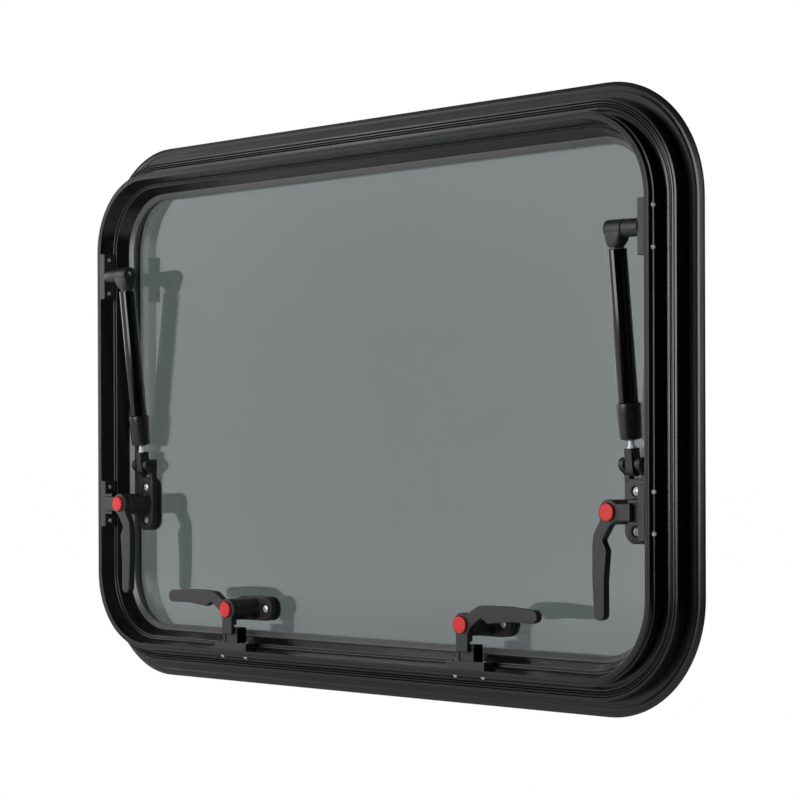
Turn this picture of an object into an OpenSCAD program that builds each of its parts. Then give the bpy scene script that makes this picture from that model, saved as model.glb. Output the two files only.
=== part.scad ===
// Caravan window: a moulded frame with a double acrylic pane, two stays and four lever latches.
// X runs to the right as seen from indoors, Y runs outdoors and Z is up.
// The origin lies on the flange's flat seat, in the middle of its bottom run.

/* [Frame] */
// Overall width of the flange
flange_w = 748; // [640:1:1000]
// Overall height of the flange
flange_h = 500; // [460:1:800]
// Radius of the flange's outer corners
corner_r = 97; // [85:1:140]
// Thickness of the flange behind the wall
flange_t = 4.5; // [3.5:0.5:7]
// Width of the rounded edge outside the seat
edge_w = 3.5; // [2:0.5:5]
// Width of the flat band that seats on the wall
seat_w = 10.5; // [8:0.5:16]
// Width of the shoulder that fills the wall cut-out
shoulder_w = 13; // [10:0.5:18]
// How far the shoulder stands indoors of the seat
shoulder_d = 13.8; // [10:0.2:20]
// How far the frame's indoor end stands from the seat
end_d = 31; // [29:0.5:45]
// Width of the flat indoor end
end_w = 5; // [4:0.5:7]

/* [Reveal] */
// Inward run of the steep wall behind the indoor end
reveal_w = 3.2; // [1:0.2:6]
// Height of the ledge above the seat plane
ledge_d = 17.8; // [15:0.2:22]
// Width of the ledge
ledge_w = 3.3; // [2:0.1:6]
// Fall of the ledge towards the pane
ledge_fall = 1.3; // [0.5:0.1:3]
// Inward run of the slope below the ledge
slope_w = 4.8; // [3:0.2:8]
// Height of the slope's foot above the seat plane
slope_foot_d = 5.8; // [4:0.2:8]
// Width of the rubber seal
seal_w = 5; // [4:0.2:8]
// Height of the seal's free lip above the seat plane
seal_lip_d = 1.8; // [0.5:0.1:3]

/* [Sash] */
// Distance from the flange's edge to the sash's edge
sash_inset = 20.5; // [19:0.5:25]
// How far the inner pane's face lies outdoors of the seat plane
pane_back = 2.8; // [2.6:0.1:5]
// Thickness of the inner pane
inner_pane_t = 3; // [2:0.5:5]
// Air gap between the panes
air_gap = 12; // [8:0.5:20]
// Thickness of the outer pane
outer_pane_t = 4; // [3:0.5:6]
// Width of the rim round the sash
rim_w = 3.5; // [2:0.5:6]
// Width of the spacer between the panes
spacer_w = 10; // [6:0.5:16]
// Gap left between pieces that seat on each other
seat_gap = 0.1; // [0.05:0.05:0.3]

/* [Hinge] */
// Distance from the corner's end to the end of the hinge rail
hinge_end_gap = 17; // [12:1:40]
// Thickness of the hinge strips
hinge_t = 2; // [1.5:0.1:3]
// Diameter of the hinge bead
bead_d = 8; // [6:0.5:9]
// Height of the strip on the outer pane
hinge_strip_h = 20; // [12:1:30]
// Length of each hinge end cap
hinge_cap_l = 9; // [5:1:15]

/* [Wall plates] */
// Length of each plate on the frame's reveal
plate_l = 43.6; // [42:0.2:56]
// Distance between a plate's two screws
plate_pitch = 32; // [30:0.5:34]
// Thickness of a side plate at the indoor end
plate_t = 6.5; // [5.5:0.1:8]
// Thickness of a bottom plate at the indoor end
bottom_plate_t = 7; // [5.5:0.1:9]
// Radius of a plate's corners at the deep end
plate_r = 4; // [2:0.5:5]
// Distance from the middle of a plate's height to its screws
plate_screw_up = 0.4; // [0:0.1:1]

/* [Screws] */
// Diameter of the recess round a screw head
recess_d = 8.5; // [6:0.1:9]
// Depth of the recess round a screw head
recess_h = 2.5; // [1.6:0.1:3]
// Diameter of a screw head
head_d = 5.4; // [4:0.1:5.8]
// Height of a screw head
head_h = 1.2; // [0.8:0.1:1.5]
// Diameter of a screw's shank
shank_d = 3; // [2.5:0.1:4]
// Clearance round a screw's shank
shank_gap = 0.3; // [0.1:0.05:0.5]
// How far a plate screw's tip stands out of the frame
tip_l = 2.5; // [1:0.5:6]

/* [Stays] */
// Distance from the reveal's wall to the stays and the side latches
fitting_in = 33; // [32:0.5:40]
// Gap between the corner's end and the stay's plate
stay_plate_gap = 0.7; // [0.5:0.1:10]
// Distance from the stay's upper pivot to the seat plane
stay_top_d = 25.7; // [25:0.1:28]
// Height of the stay's lower pin above the side latch
stay_foot_up = 36.9; // [34:0.1:50]
// Distance from the stay's lower pin to the seat plane
stay_foot_d = 5.75; // [5:0.05:9]
// Diameter of the boss on the frame plate
boss_d = 14.2; // [10:0.2:14.6]
// Diameter of the stay's head
stay_head_d = 15; // [12:0.5:18]
// Distance from the stay's line to the head's inner end
head_in_l = 7; // [7:0.2:9]
// Distance from the stay's line to the head's outer end
head_out_l = 10.4; // [8:0.2:12]
// Diameter of the head's neck at the tube
neck_d = 13; // [10:0.5:13.5]
// Diameter of the pivot bolt's shank
bolt_d = 5; // [4:0.5:6]
// Diameter of the pivot bolt's head
bolt_head_d = 5.8; // [5:0.2:7]
// Clearance round the pivot bolt and the foot pin
bolt_gap = 0.1; // [0.05:0.05:0.3]
// How far the pivot bolt runs into the frame plate's boss
bolt_grip_l = 10; // [6:0.5:14]
// Diameter of the stay's tube
tube_d = 16; // [12:0.5:18]
// Distance along the stay from the pivot to the tube
tube_start = 15; // [12:0.5:25]
// Diameter of the collar at the tube's foot
collar_d = 19.5; // [17:0.5:22]
// Diameter of the collar's lower end
collar_foot_d = 17; // [15:0.5:17]
// Length of the collar
collar_l = 29.2; // [15:0.1:40]
// Diameter of the stay's rod
rod_d = 5; // [4:0.5:7]
// Length of rod that shows below the collar
rod_l = 6; // [4:0.5:20]
// Width of the end fitting on the rod
foot_w = 7.5; // [6:0.5:9]
// Thickness of the end fitting
foot_t = 10.5; // [8:0.5:11]
// Distance from the foot pin up to the end fitting's top
foot_up = 12.6; // [10:0.1:16]
// Distance from the foot pin down to the end fitting's foot
foot_down = 9.5; // [6:0.1:10]
// Diameter of the foot pin
pin_d = 4; // [3:0.5:5]
// Thickness of each ear round the foot pin
ear_t = 5.5; // [4:0.1:6]
// Radius of the ears
ear_r = 5.5; // [4.5:0.1:6]

/* [Latches] */
// Height of the side latches above the end of the bottom corner
side_latch_up = 65.6; // [50:0.2:80]
// Distance from the end of the bottom corner to the bottom latches
bottom_latch_run = 127.4; // [90:0.2:150]
// Distance from the reveal's bottom wall to the bottom latches
bottom_latch_in = 36.8; // [35:0.2:42]
// Width of the bracket on the pane
bracket_w = 22; // [20:0.5:26]
// Distance between a bracket's two screws
bracket_pitch = 31.4; // [30:0.2:34]
// Distance from a bracket's screw to the bracket's end
bracket_over = 9.8; // [7:0.2:10.5]
// Thickness of the bracket on the pane
bracket_t = 6.2; // [4:0.2:7]
// Thickness of the insert behind the inner pane
insert_t = 3.6; // [2:0.2:8]
// Diameter of the post that carries the lever
post_d = 19.5; // [14:0.1:20]
// Distance from the seat plane to the lever's back
lever_back_d = 28; // [26:0.5:34]
// Thickness of the lever
lever_t = 7; // [6:0.5:9]
// Diameter of the lever's head
lever_head_d = 20; // [18:0.5:24]
// Distance from the lever's pivot to its tip
lever_l = 84; // [62:1:95]
// Width of the lever's grip
grip_w = 12.5; // [10:0.5:15]
// Sideways shift of the grip away from the frame
grip_shift = 10.7; // [8:0.1:14]
// Radius of the grip's tip
grip_tip_r = 5.6; // [4:0.1:6]
// How far the finger bump stands out of the grip
bump_h = 2.5; // [0.5:0.1:4]
// Depth of the notch above the finger bump
notch_h = 2; // [0.5:0.1:3]
// Distance from the pivot to the end of the latch arm
arm_l = 22; // [19:0.5:25]
// Width of the latch arm
arm_w = 13.4; // [8:0.2:14]
// Length of the arm that has the lever's full thickness
arm_thick_l = 13.8; // [10:0.1:14]
// Thickness of the arm's end that lies over the lug
arm_t = 3.5; // [2.5:0.1:4.5]
// Running gap between the post and the lever
lever_gap = 0.4; // [0.3:0.05:0.8]
// Diameter of the spindle that the lever turns on
spindle_d = 6; // [4:0.5:8]
// Running clearance round the spindle
spindle_gap = 0.08; // [0.03:0.01:0.1]

/* [Buttons] */
// Diameter of the push-button
button_d = 13.8; // [10:0.2:15]
// Clearance round the button
button_gap = 0.35; // [0.3:0.05:0.6]
// How far the button stands out of the lever
button_out = 2.7; // [2.4:0.1:4]
// Travel of the button
button_travel = 2.2; // [1.5:0.1:2.4]
// Depth of button inside the lever at rest
button_in = 2.6; // [2:0.1:3]

/* [Strikers] */
// Distance from the lever's pivot to the lug
lug_start = 16.2; // [16:0.1:18]
// Width of the lug
lug_w = 19.4; // [15:0.2:20]
// Height of the lug's foot above the seat plane
lug_foot_d = 20; // [18:0.5:22]
// Gap between the lug's cheeks and the arm
lug_gap = 0.5; // [0.4:0.1:2]
// Width of the recess between the lug's cheeks
lug_recess_w = 13.8; // [10:0.2:15]
// Depth of the recess between the lug's cheeks
lug_recess_h = 1; // [0.5:0.1:2]

/* [Hidden] */
$fn = 64;
eps = 0.01;

black = [0.11, 0.11, 0.12];
dark_grey = [0.25, 0.26, 0.27];
glass_grey = [0.51, 0.54, 0.53];
metal = [0.75, 0.76, 0.77];
red = [0.82, 0.24, 0.2];

// Distances inward from the flange's edge to each corner of the frame's section
seat_in = edge_w;
shoulder_in = seat_in + seat_w;
wall_in = shoulder_in + shoulder_w;
end_in = wall_in + end_w;
ledge_in = end_in + reveal_w;
slope_in = ledge_in + ledge_w;
seal_in = slope_in + slope_w;
seal_edge_in = seal_in + seal_w;

// Height of the window's middle above the origin
middle_h = flange_h / 2 - edge_w - seat_w / 2;
frame_back = pane_back - seat_gap;
spacer_back = pane_back + inner_pane_t;
outer_back = spacer_back + air_gap;
sash_back = outer_back + outer_pane_t;

// The frame's section, as distance in from the edge and height above the seat plane
frame_section = [
    [0, -flange_t * 0.35],
    [seat_in, 0],
    [shoulder_in, 0],
    [shoulder_in, shoulder_d],
    [wall_in, shoulder_d],
    [wall_in, end_d],
    [end_in, end_d],
    [ledge_in, ledge_d],
    [slope_in, ledge_d - ledge_fall],
    [seal_in, slope_foot_d],
    [seal_in, -frame_back],
    [sash_inset - 1, -frame_back],
    [sash_inset - 1, -flange_t],
    [edge_w * 0.4, -flange_t],
    [0, -flange_t * 0.7]
];

// The hinge on the flange's back and the strip over it
hinge_l = flange_w - 2 * corner_r - 2 * hinge_end_gap;
bead_in = sash_inset - bead_d / 2 - 2;
bead_back = flange_t + hinge_t + bead_d / 2 + 1;
cover_in = bead_in - bead_d / 2 - hinge_t - 0.5;

// Wall plates: the reveal's own slope, and where the walls and the plates' flat faces lie
reveal_slope = reveal_w / (end_d - ledge_d);
plate_screw_d = (ledge_d + end_d) / 2 + plate_screw_up;
side_wall_x = flange_w / 2 - end_in;
bottom_wall_y = flange_h / 2 - end_in;
corner_end_x = flange_w / 2 - corner_r;
corner_end_y = flange_h / 2 - corner_r;

// Places of the stays and latches from the window's middle
side_x = side_wall_x - fitting_in;
side_latch_y = side_latch_up - corner_end_y;
bottom_latch_x = corner_end_x - bottom_latch_run;
bottom_latch_y = bottom_latch_in - bottom_wall_y;
stay_top_y = corner_end_y - stay_plate_gap - plate_l / 2;
stay_foot_y = side_latch_y + stay_foot_up;
side_plate_x = fitting_in - plate_t;
bottom_plate_x = bottom_latch_in - bottom_plate_t;

// The stay's line from its upper pivot to its lower pin
stay_drop = stay_top_y - stay_foot_y;
stay_lean = atan((stay_top_d - stay_foot_d) / stay_drop);
stay_l = sqrt(pow(stay_drop, 2) + pow(stay_top_d - stay_foot_d, 2));
rod_start = stay_l - foot_up - rod_l;
collar_start = rod_start - collar_l;

// Heights of the brackets, levers and lugs above the seat plane
bracket_back_d = seat_gap - pane_back;
bracket_front_d = bracket_back_d + bracket_t;
bracket_end = bracket_pitch / 2 + bracket_over;
lever_front_d = lever_back_d + lever_t;
arm_back_d = lever_front_d - arm_t;
lug_front_d = arm_back_d - lug_gap;
button_bore_r = button_d / 2 + button_gap;
button_floor_d = lever_front_d - button_in - button_travel - 0.4;

// Stands what is drawn flat, with its height towards the indoors, upright in the wall
module upright() {
    translate([0, 0, middle_h])
        rotate([90, 0, 0])
            children();
}

// Bends a section round the window: straight runs with quarter turns between them
module bent_round(section) {
    run_x = flange_w / 2 - corner_r;
    run_y = flange_h / 2 - corner_r;
    for (side = [0, 1]) {
        mirror([side, 0, 0])
            translate([0, run_y, 0])
                rotate([90, 0, 0])
                    linear_extrude(2 * run_y)
                        polygon([for (p = section) [flange_w / 2 - p[0], p[1]]]);
        mirror([0, side, 0])
            translate([-run_x, 0, 0])
                rotate([90, 0, 90])
                    linear_extrude(2 * run_x)
                        polygon([for (p = section) [flange_h / 2 - p[0], p[1]]]);
    }
    for (turn = [0 : 3]) {
        right = turn == 0 || turn == 3 ? 1 : -1;
        up = turn < 2 ? 1 : -1;
        translate([right * run_x, up * run_y, 0])
            rotate([0, 0, 90 * turn])
                rotate_extrude(angle = 90)
                    polygon([for (p = section) [corner_r - p[0], p[1]]]);
    }
}

// A sheet that follows the window's outline at a distance in from the flange's edge
module sheet(inset, top, thick) {
    r = corner_r - inset;
    half_x = flange_w / 2 - inset;
    half_y = flange_h / 2 - inset;
    translate([0, 0, top - thick])
        linear_extrude(thick)
            union() {
                square([2 * half_x, 2 * (half_y - r)], center = true);
                square([2 * (half_x - r), 2 * half_y], center = true);
                for (sx = [-1, 1], sy = [-1, 1])
                    translate([sx * (half_x - r), sy * (half_y - r)])
                        circle(r);
            }
}

// A ring with a rectangular section, from one inset to another
module band(inset, width, top, thick) {
    bent_round([
        [inset, top],
        [inset + width, top],
        [inset + width, top - thick],
        [inset, top - thick]
    ]);
}

// Places a right-hand piece on the left or right side
module on_side(side) {
    if (side < 0) mirror([1, 0, 0]) children();
    else children();
}

// Places a latch piece, drawn with its arm along +X and its lever down, at one of four places
module at_latch(place) {
    if (place == "right") translate([side_x, side_latch_y, 0]) children();
    if (place == "left") mirror([1, 0, 0]) at_latch("right") children();
    if (place == "bottom_left")
        translate([-bottom_latch_x, bottom_latch_y, 0])
            rotate([0, 0, -90])
                children();
    if (place == "bottom_right") mirror([1, 0, 0]) at_latch("bottom_left") children();
}

// Places a piece beside a stay's upper pivot, with the wall along +X
module at_stay_top(side) {
    on_side(side)
        translate([side_x, stay_top_y, 0])
            children();
}

// A plate's face, drawn as distance down from the indoor end, with round corners at the deep end
module plate_face() {
    deep = end_d - ledge_d - seat_gap;
    union() {
        translate([-1, -plate_l / 2])
            square([deep + 1 - plate_r, plate_l]);
        translate([-1, plate_r - plate_l / 2])
            square([deep + 1, plate_l - 2 * plate_r]);
        for (sy = [-1, 1])
            translate([deep - plate_r, sy * (plate_l / 2 - plate_r)])
                circle(plate_r);
    }
}

// A plate on the reveal, flat towards the opening; x is where its flat face lies
module wall_plate(x, thick) {
    back_x = x + thick - seat_gap;
    intersection() {
        rotate([90, 0, 0])
            linear_extrude(plate_l + 2, center = true)
                polygon([
                    [x, end_d],
                    [x, ledge_d],
                    [back_x - reveal_slope * (end_d - ledge_d), ledge_d],
                    [back_x, end_d]
                ]);
        translate([x - 1, 0, end_d])
            rotate([0, 90, 0])
                linear_extrude(thick + 1)
                    plate_face();
    }
}

// The two screw holes of a wall plate and the wall behind it, with a recess round each head
module plate_holes(x, thick) {
    for (sy = [-1, 1])
        translate([x, sy * plate_pitch / 2, plate_screw_d])
            rotate([0, 90, 0]) {
                translate([0, 0, -eps])
                    cylinder(d = recess_d, h = recess_h + eps);
                cylinder(d = shank_d + 2 * shank_gap, h = thick + end_w + 1);
            }
}

// A pair of wall screws, from the recess floor to past the frame's outside
module plate_screw_pair(x, thick) {
    for (sy = [-1, 1])
        translate([x + recess_h, sy * plate_pitch / 2, plate_screw_d])
            rotate([0, 90, 0]) {
                translate([0, 0, -head_h])
                    cylinder(d = head_d, h = head_h);
                cylinder(d = shank_d, h = thick - recess_h + end_w + tip_l);
            }
}

// Puts its first child at the side plates and its second at the bottom plates
module each_plate_place() {
    for (side = [-1, 1]) {
        at_stay_top(side)
            children(0);
        on_side(side)
            at_latch("right")
                children(0);
        on_side(side)
            at_latch("bottom_left")
                children(1);
    }
}

module outer_frame() {
    color(black)
        upright()
            difference() {
                bent_round(frame_section);
                each_plate_place() {
                    plate_holes(side_plate_x, plate_t);
                    plate_holes(bottom_plate_x, bottom_plate_t);
                }
            }
}

module sash_seal() {
    color(dark_grey)
        upright()
            bent_round([
                [seal_in + seat_gap, slope_foot_d],
                [seal_edge_in, seal_lip_d],
                [seal_edge_in - seal_w * 0.2, -frame_back],
                [seal_in + seat_gap, -frame_back]
            ]);
}

module inner_pane() {
    color(glass_grey)
        upright()
            sheet(sash_inset + rim_w + seat_gap, -pane_back, inner_pane_t);
}

// The shaped pieces behind the inner pane that take the bracket screws
module pane_inserts() {
    color(black)
        upright()
            for (place = ["left", "right", "bottom_left", "bottom_right"])
                at_latch(place)
                    translate([0, 0, -spacer_back - seat_gap - insert_t])
                        linear_extrude(insert_t)
                            bracket_outline();
}

module pane_spacer() {
    color(black)
        upright()
            band(sash_inset + rim_w + seat_gap, spacer_w, -spacer_back, air_gap);
}

module sash_rim() {
    color(black)
        upright()
            band(sash_inset, rim_w, -pane_back, outer_back - pane_back);
}

module outer_pane() {
    color(glass_grey)
        upright()
            sheet(sash_inset, -outer_back, outer_pane_t);
}

// Places a section drawn as distance down from the flange's top edge and depth outdoors
module along_top(length) {
    translate([-length / 2, 0, 0])
        rotate([90, 0, 90])
            linear_extrude(length)
                translate([flange_h / 2, 0])
                    mirror([0, 1])
                        mirror([1, 0])
                            children();
}

module hinge_rail() {
    color(black)
        upright()
            along_top(hinge_l)
                union() {
                    translate([bead_in - bead_d / 2 - 1, flange_t])
                        square([bead_d + 2, hinge_t]);
                    translate([bead_in - hinge_t / 2, flange_t])
                        square([hinge_t, bead_back - flange_t]);
                    translate([bead_in, bead_back])
                        circle(d = bead_d);
                }
}

module hinge_strip() {
    color(black)
        upright()
            along_top(hinge_l)
                union() {
                    translate([cover_in, sash_back])
                        square([hinge_strip_h, hinge_t]);
                    translate([cover_in, bead_back])
                        square([hinge_t, sash_back + hinge_t - bead_back]);
                }
}

module hinge_end_caps() {
    color(dark_grey)
        upright()
            for (side = [-1, 1])
                on_side(side)
                    translate([hinge_l / 2 + hinge_cap_l / 2, 0, 0])
                        along_top(hinge_cap_l)
                            translate([cover_in, flange_t])
                                square([sash_inset - cover_in - 0.5, sash_back + hinge_t - flange_t]);
}

// The stay's own line, running from the upper pivot towards the foot
module along_stay(side) {
    on_side(side)
        translate([side_x, stay_top_y, stay_top_d])
            rotate([90 + stay_lean, 0, 0])
                children();
}

// A line along the stay's upper pivot, running out towards the wall from a distance off the stay
module along_pivot(side, from) {
    at_stay_top(side)
        translate([from, 0, stay_top_d])
            rotate([0, 90, 0])
                children();
}

module stay_plate(side) {
    boss_start = head_out_l + seat_gap;
    color(black)
        upright()
            difference() {
                union() {
                    at_stay_top(side)
                        wall_plate(side_plate_x, plate_t);
                    along_pivot(side, boss_start)
                        cylinder(d = boss_d, h = side_plate_x - boss_start + 1);
                }
                at_stay_top(side)
                    plate_holes(side_plate_x, plate_t);
                along_pivot(side, head_out_l)
                    cylinder(d = bolt_d + 2 * bolt_gap, h = bolt_grip_l + 1);
            }
}

module stay_head(side) {
    color(black)
        upright()
            difference() {
                union() {
                    along_pivot(side, -head_in_l)
                        cylinder(d = stay_head_d, h = head_in_l + head_out_l);
                    along_stay(side)
                        cylinder(d1 = neck_d + 0.5, d2 = neck_d, h = tube_start - seat_gap);
                }
                along_pivot(side, -head_in_l - eps) {
                    cylinder(d = bolt_d + 2 * bolt_gap, h = head_in_l + head_out_l + 2 * eps);
                    cylinder(d = recess_d, h = recess_h + eps);
                }
            }
}

module stay_tube(side) {
    color(black)
        upright()
            along_stay(side)
                translate([0, 0, tube_start])
                    cylinder(d = tube_d, h = collar_start - tube_start);
}

module stay_collar(side) {
    color(dark_grey)
        upright()
            along_stay(side)
                translate([0, 0, collar_start])
                    cylinder(d1 = collar_d, d2 = collar_foot_d, h = collar_l);
}

module stay_rod(side) {
    color(metal)
        upright()
            along_stay(side)
                translate([0, 0, rod_start])
                    cylinder(d = rod_d, h = rod_l);
}

module stay_foot(side) {
    round_end = stay_l + foot_down - foot_t / 2;
    color(black)
        upright()
            along_stay(side)
                difference() {
                    union() {
                        translate([-foot_w / 2, -foot_t / 2, stay_l - foot_up])
                            cube([foot_w, foot_t, round_end - stay_l + foot_up]);
                        translate([-foot_w / 2, 0, round_end])
                            rotate([0, 90, 0])
                                cylinder(d = foot_t, h = foot_w);
                    }
                    translate([-foot_w, 0, stay_l])
                        rotate([0, 90, 0])
                            cylinder(d = pin_d + 2 * bolt_gap, h = 2 * foot_w);
                }
}

// The bolts that the stay heads turn on, seen from the window's middle
module stay_bolts() {
    color(metal)
        upright()
            for (side = [-1, 1])
                along_pivot(side, recess_h - head_in_l) {
                    translate([0, 0, -head_h])
                        cylinder(d = bolt_head_d, h = head_h);
                    cylinder(d = bolt_d, h = head_in_l - recess_h + head_out_l + bolt_grip_l);
                }
}

module stay_pins() {
    color(metal)
        upright()
            for (side = [-1, 1])
                on_side(side)
                    translate([side_x - bracket_w / 2, stay_foot_y, stay_foot_d])
                        rotate([0, 90, 0])
                            cylinder(d = pin_d, h = bracket_w);
}

// The long round-ended outline of a bracket
module bracket_outline() {
    half = bracket_end - bracket_w / 2;
    union() {
        square([bracket_w, 2 * half], center = true);
        for (sy = [-1, 1])
            translate([0, sy * half])
                circle(d = bracket_w);
    }
}

// The plate on the pane with the post that carries the lever
module bracket_body() {
    difference() {
        union() {
            translate([0, 0, bracket_back_d])
                linear_extrude(bracket_t)
                    bracket_outline();
            translate([0, 0, bracket_back_d])
                cylinder(d = post_d, h = lever_back_d - lever_gap - bracket_back_d);
            cylinder(d = spindle_d, h = button_floor_d - 0.2);
        }
        for (sy = [-1, 1])
            translate([0, sy * bracket_pitch / 2, 0]) {
                translate([0, 0, bracket_front_d - recess_h])
                    cylinder(d = recess_d, h = recess_h + 1);
                translate([0, 0, bracket_back_d - 1])
                    cylinder(d = shank_d + 2 * shank_gap, h = bracket_t + 2);
            }
    }
}

// The two ears above a side bracket that hold the stay's foot pin
module stay_ears() {
    rise = stay_foot_d - bracket_back_d;
    for (sx = [-1, 1])
        translate([sx * (bracket_w - ear_t) / 2 - ear_t / 2, 0, 0])
            difference() {
                union() {
                    translate([0, bracket_end - bracket_w / 2, bracket_back_d])
                        cube([ear_t, stay_foot_up - bracket_end + bracket_w / 2, bracket_t]);
                    translate([0, stay_foot_up - ear_r, bracket_back_d])
                        cube([ear_t, 2 * ear_r, rise]);
                    translate([0, stay_foot_up, stay_foot_d])
                        rotate([0, 90, 0])
                            cylinder(r = ear_r, h = ear_t);
                }
                translate([-1, stay_foot_up, stay_foot_d])
                    rotate([0, 90, 0])
                        cylinder(d = pin_d + 2 * bolt_gap, h = ear_t + 2);
            }
}

module bracket(place) {
    color(black)
        upright()
            at_latch(place) {
                bracket_body();
                if (place == "left" || place == "right") stay_ears();
            }
}

// The frame plate with the lug that the latch arm lies over
module striker(place) {
    low = place == "bottom_left" || place == "bottom_right";
    x = low ? bottom_plate_x : side_plate_x;
    thick = low ? bottom_plate_t : plate_t;
    lug_l = x - lug_start + 1;
    color(black)
        upright()
            at_latch(place)
                difference() {
                    union() {
                        wall_plate(x, thick);
                        translate([lug_start, -lug_w / 2, lug_foot_d])
                            cube([lug_l, lug_w, lug_front_d - lug_foot_d]);
                    }
                    plate_holes(x, thick);
                    translate([lug_start - 1, -lug_recess_w / 2, lug_front_d - lug_recess_h])
                        cube([lug_l, lug_recess_w, lug_recess_h + 1]);
                }
}

// The lever's head and grip, with the finger bump and the notch on the frame's side
module grip_outline() {
    neck_y = -lever_head_d / 2 - 10;
    inner = -grip_shift + grip_w / 2;
    outer = -grip_shift - grip_w / 2;
    tip_x = inner + 0.4 - grip_tip_r;
    tip_y = grip_tip_r - lever_l;
    union() {
        circle(d = lever_head_d);
        polygon([
            [-lever_head_d * 0.4, 0],
            [outer * 0.65, neck_y + 10.5],
            [outer + 0.8, neck_y + 2],
            [outer, neck_y - 10],
            [tip_x - grip_tip_r, tip_y],
            [tip_x + grip_tip_r, tip_y],
            [inner, neck_y - 32],
            [inner + bump_h, neck_y - 9.5],
            [inner - notch_h, neck_y - 1.7],
            [-lever_head_d * 0.12, -lever_head_d * 0.4]
        ]);
        translate([tip_x, tip_y])
            circle(r = grip_tip_r);
    }
}

module lever(place) {
    color(black)
        upright()
            at_latch(place)
                difference() {
                    union() {
                        translate([0, 0, lever_back_d])
                            linear_extrude(lever_t)
                                union() {
                                    grip_outline();
                                    translate([0, -arm_w / 2])
                                        square([arm_thick_l, arm_w]);
                                }
                        translate([0, -arm_w / 2, arm_back_d])
                            cube([arm_l, arm_w, arm_t]);
                    }
                    translate([0, 0, button_floor_d])
                        cylinder(r = button_bore_r, h = lever_t);
                    cylinder(d = spindle_d + 2 * spindle_gap, h = lever_front_d);
                }
}

module button(place) {
    color(red)
        upright()
            at_latch(place)
                translate([0, 0, lever_front_d - button_in])
                    cylinder(d = button_d, h = button_in + button_out);
}

module bracket_screws() {
    color(metal)
        upright()
            for (place = ["left", "right", "bottom_left", "bottom_right"])
                at_latch(place)
                    for (sy = [-1, 1])
                        translate([0, sy * bracket_pitch / 2, bracket_front_d - recess_h]) {
                            cylinder(d = head_d, h = head_h);
                            translate([0, 0, recess_h - bracket_t])
                                cylinder(d = shank_d, h = bracket_t - recess_h);
                        }
}

module plate_screws() {
    color(metal)
        upright()
            each_plate_place() {
                plate_screw_pair(side_plate_x, plate_t);
                plate_screw_pair(bottom_plate_x, bottom_plate_t);
            }
}

outer_frame();
sash_seal();
inner_pane();
pane_inserts();
pane_spacer();
sash_rim();
outer_pane();
hinge_rail();
hinge_strip();
hinge_end_caps();
stay_plate(-1);  // stay_plate_left
stay_head(-1);  // stay_head_left
stay_tube(-1);  // stay_tube_left
stay_collar(-1);  // stay_collar_left
stay_rod(-1);  // stay_rod_left
stay_foot(-1);  // stay_foot_left
stay_plate(1);  // stay_plate_right
stay_head(1);  // stay_head_right
stay_tube(1);  // stay_tube_right
stay_collar(1);  // stay_collar_right
stay_rod(1);  // stay_rod_right
stay_foot(1);  // stay_foot_right
stay_bolts();
stay_pins();
bracket("left");  // bracket_left
bracket("right");  // bracket_right
bracket("bottom_left");  // bracket_bottom_left
bracket("bottom_right");  // bracket_bottom_right
striker("left");  // striker_left
striker("right");  // striker_right
striker("bottom_left");  // striker_bottom_left
striker("bottom_right");  // striker_bottom_right
lever("left");  // lever_left
lever("right");  // lever_right
lever("bottom_left");  // lever_bottom_left
lever("bottom_right");  // lever_bottom_right
button("left");  // button_left
button("right");  // button_right
button("bottom_left");  // button_bottom_left
button("bottom_right");  // button_bottom_right
bracket_screws();
plate_screws();
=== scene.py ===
# %% [markdown]
# # A caravan window, dressed for a photograph
# The solids of the window come from the construction file. Blender gives each of them its real skin:
# moulded edges, screw heads, rubber, acrylic and zinc. We start by loading the solids, because every
# piece we make has to sit where its solid sits and move with the same body.

# %% Load the solids
import math

import bmesh
import bpy
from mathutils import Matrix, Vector


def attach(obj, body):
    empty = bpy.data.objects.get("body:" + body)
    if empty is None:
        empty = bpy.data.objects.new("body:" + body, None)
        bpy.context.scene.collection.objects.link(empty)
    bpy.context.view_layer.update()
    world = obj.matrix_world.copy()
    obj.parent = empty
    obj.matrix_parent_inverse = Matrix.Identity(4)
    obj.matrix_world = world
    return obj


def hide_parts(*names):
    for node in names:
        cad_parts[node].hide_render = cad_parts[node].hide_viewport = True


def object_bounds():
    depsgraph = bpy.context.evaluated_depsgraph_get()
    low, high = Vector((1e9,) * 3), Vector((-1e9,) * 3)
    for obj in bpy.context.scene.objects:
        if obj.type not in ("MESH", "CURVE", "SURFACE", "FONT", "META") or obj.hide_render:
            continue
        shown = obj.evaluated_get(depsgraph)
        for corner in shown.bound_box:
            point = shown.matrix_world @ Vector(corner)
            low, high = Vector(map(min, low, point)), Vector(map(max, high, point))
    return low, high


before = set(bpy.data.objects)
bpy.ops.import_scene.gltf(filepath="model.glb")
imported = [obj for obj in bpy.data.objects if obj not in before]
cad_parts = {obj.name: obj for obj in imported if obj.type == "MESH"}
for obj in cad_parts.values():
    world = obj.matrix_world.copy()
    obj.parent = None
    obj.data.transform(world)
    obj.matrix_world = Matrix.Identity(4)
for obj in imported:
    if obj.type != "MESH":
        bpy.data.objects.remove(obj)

solid_box = [list(corner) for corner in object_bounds()]
print("solids", len(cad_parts), "box", solid_box)

# %% [markdown]
# ## Working flat, then standing the window up
# A window is drawn most easily lying flat: x to the right, y up from its middle, and d for how far a
# point stands towards the indoors. We could draw it flat and turn the finished objects upright, but
# a pattern on a turned object slides. One small function stands each point up in the wall instead,
# so every finished piece can stay at the origin. All sizes here are in millimetres, and the first one
# is the height of the window's middle above the origin.

# %% Stand a flat point up
MIDDLE_H = 241.25


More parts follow.
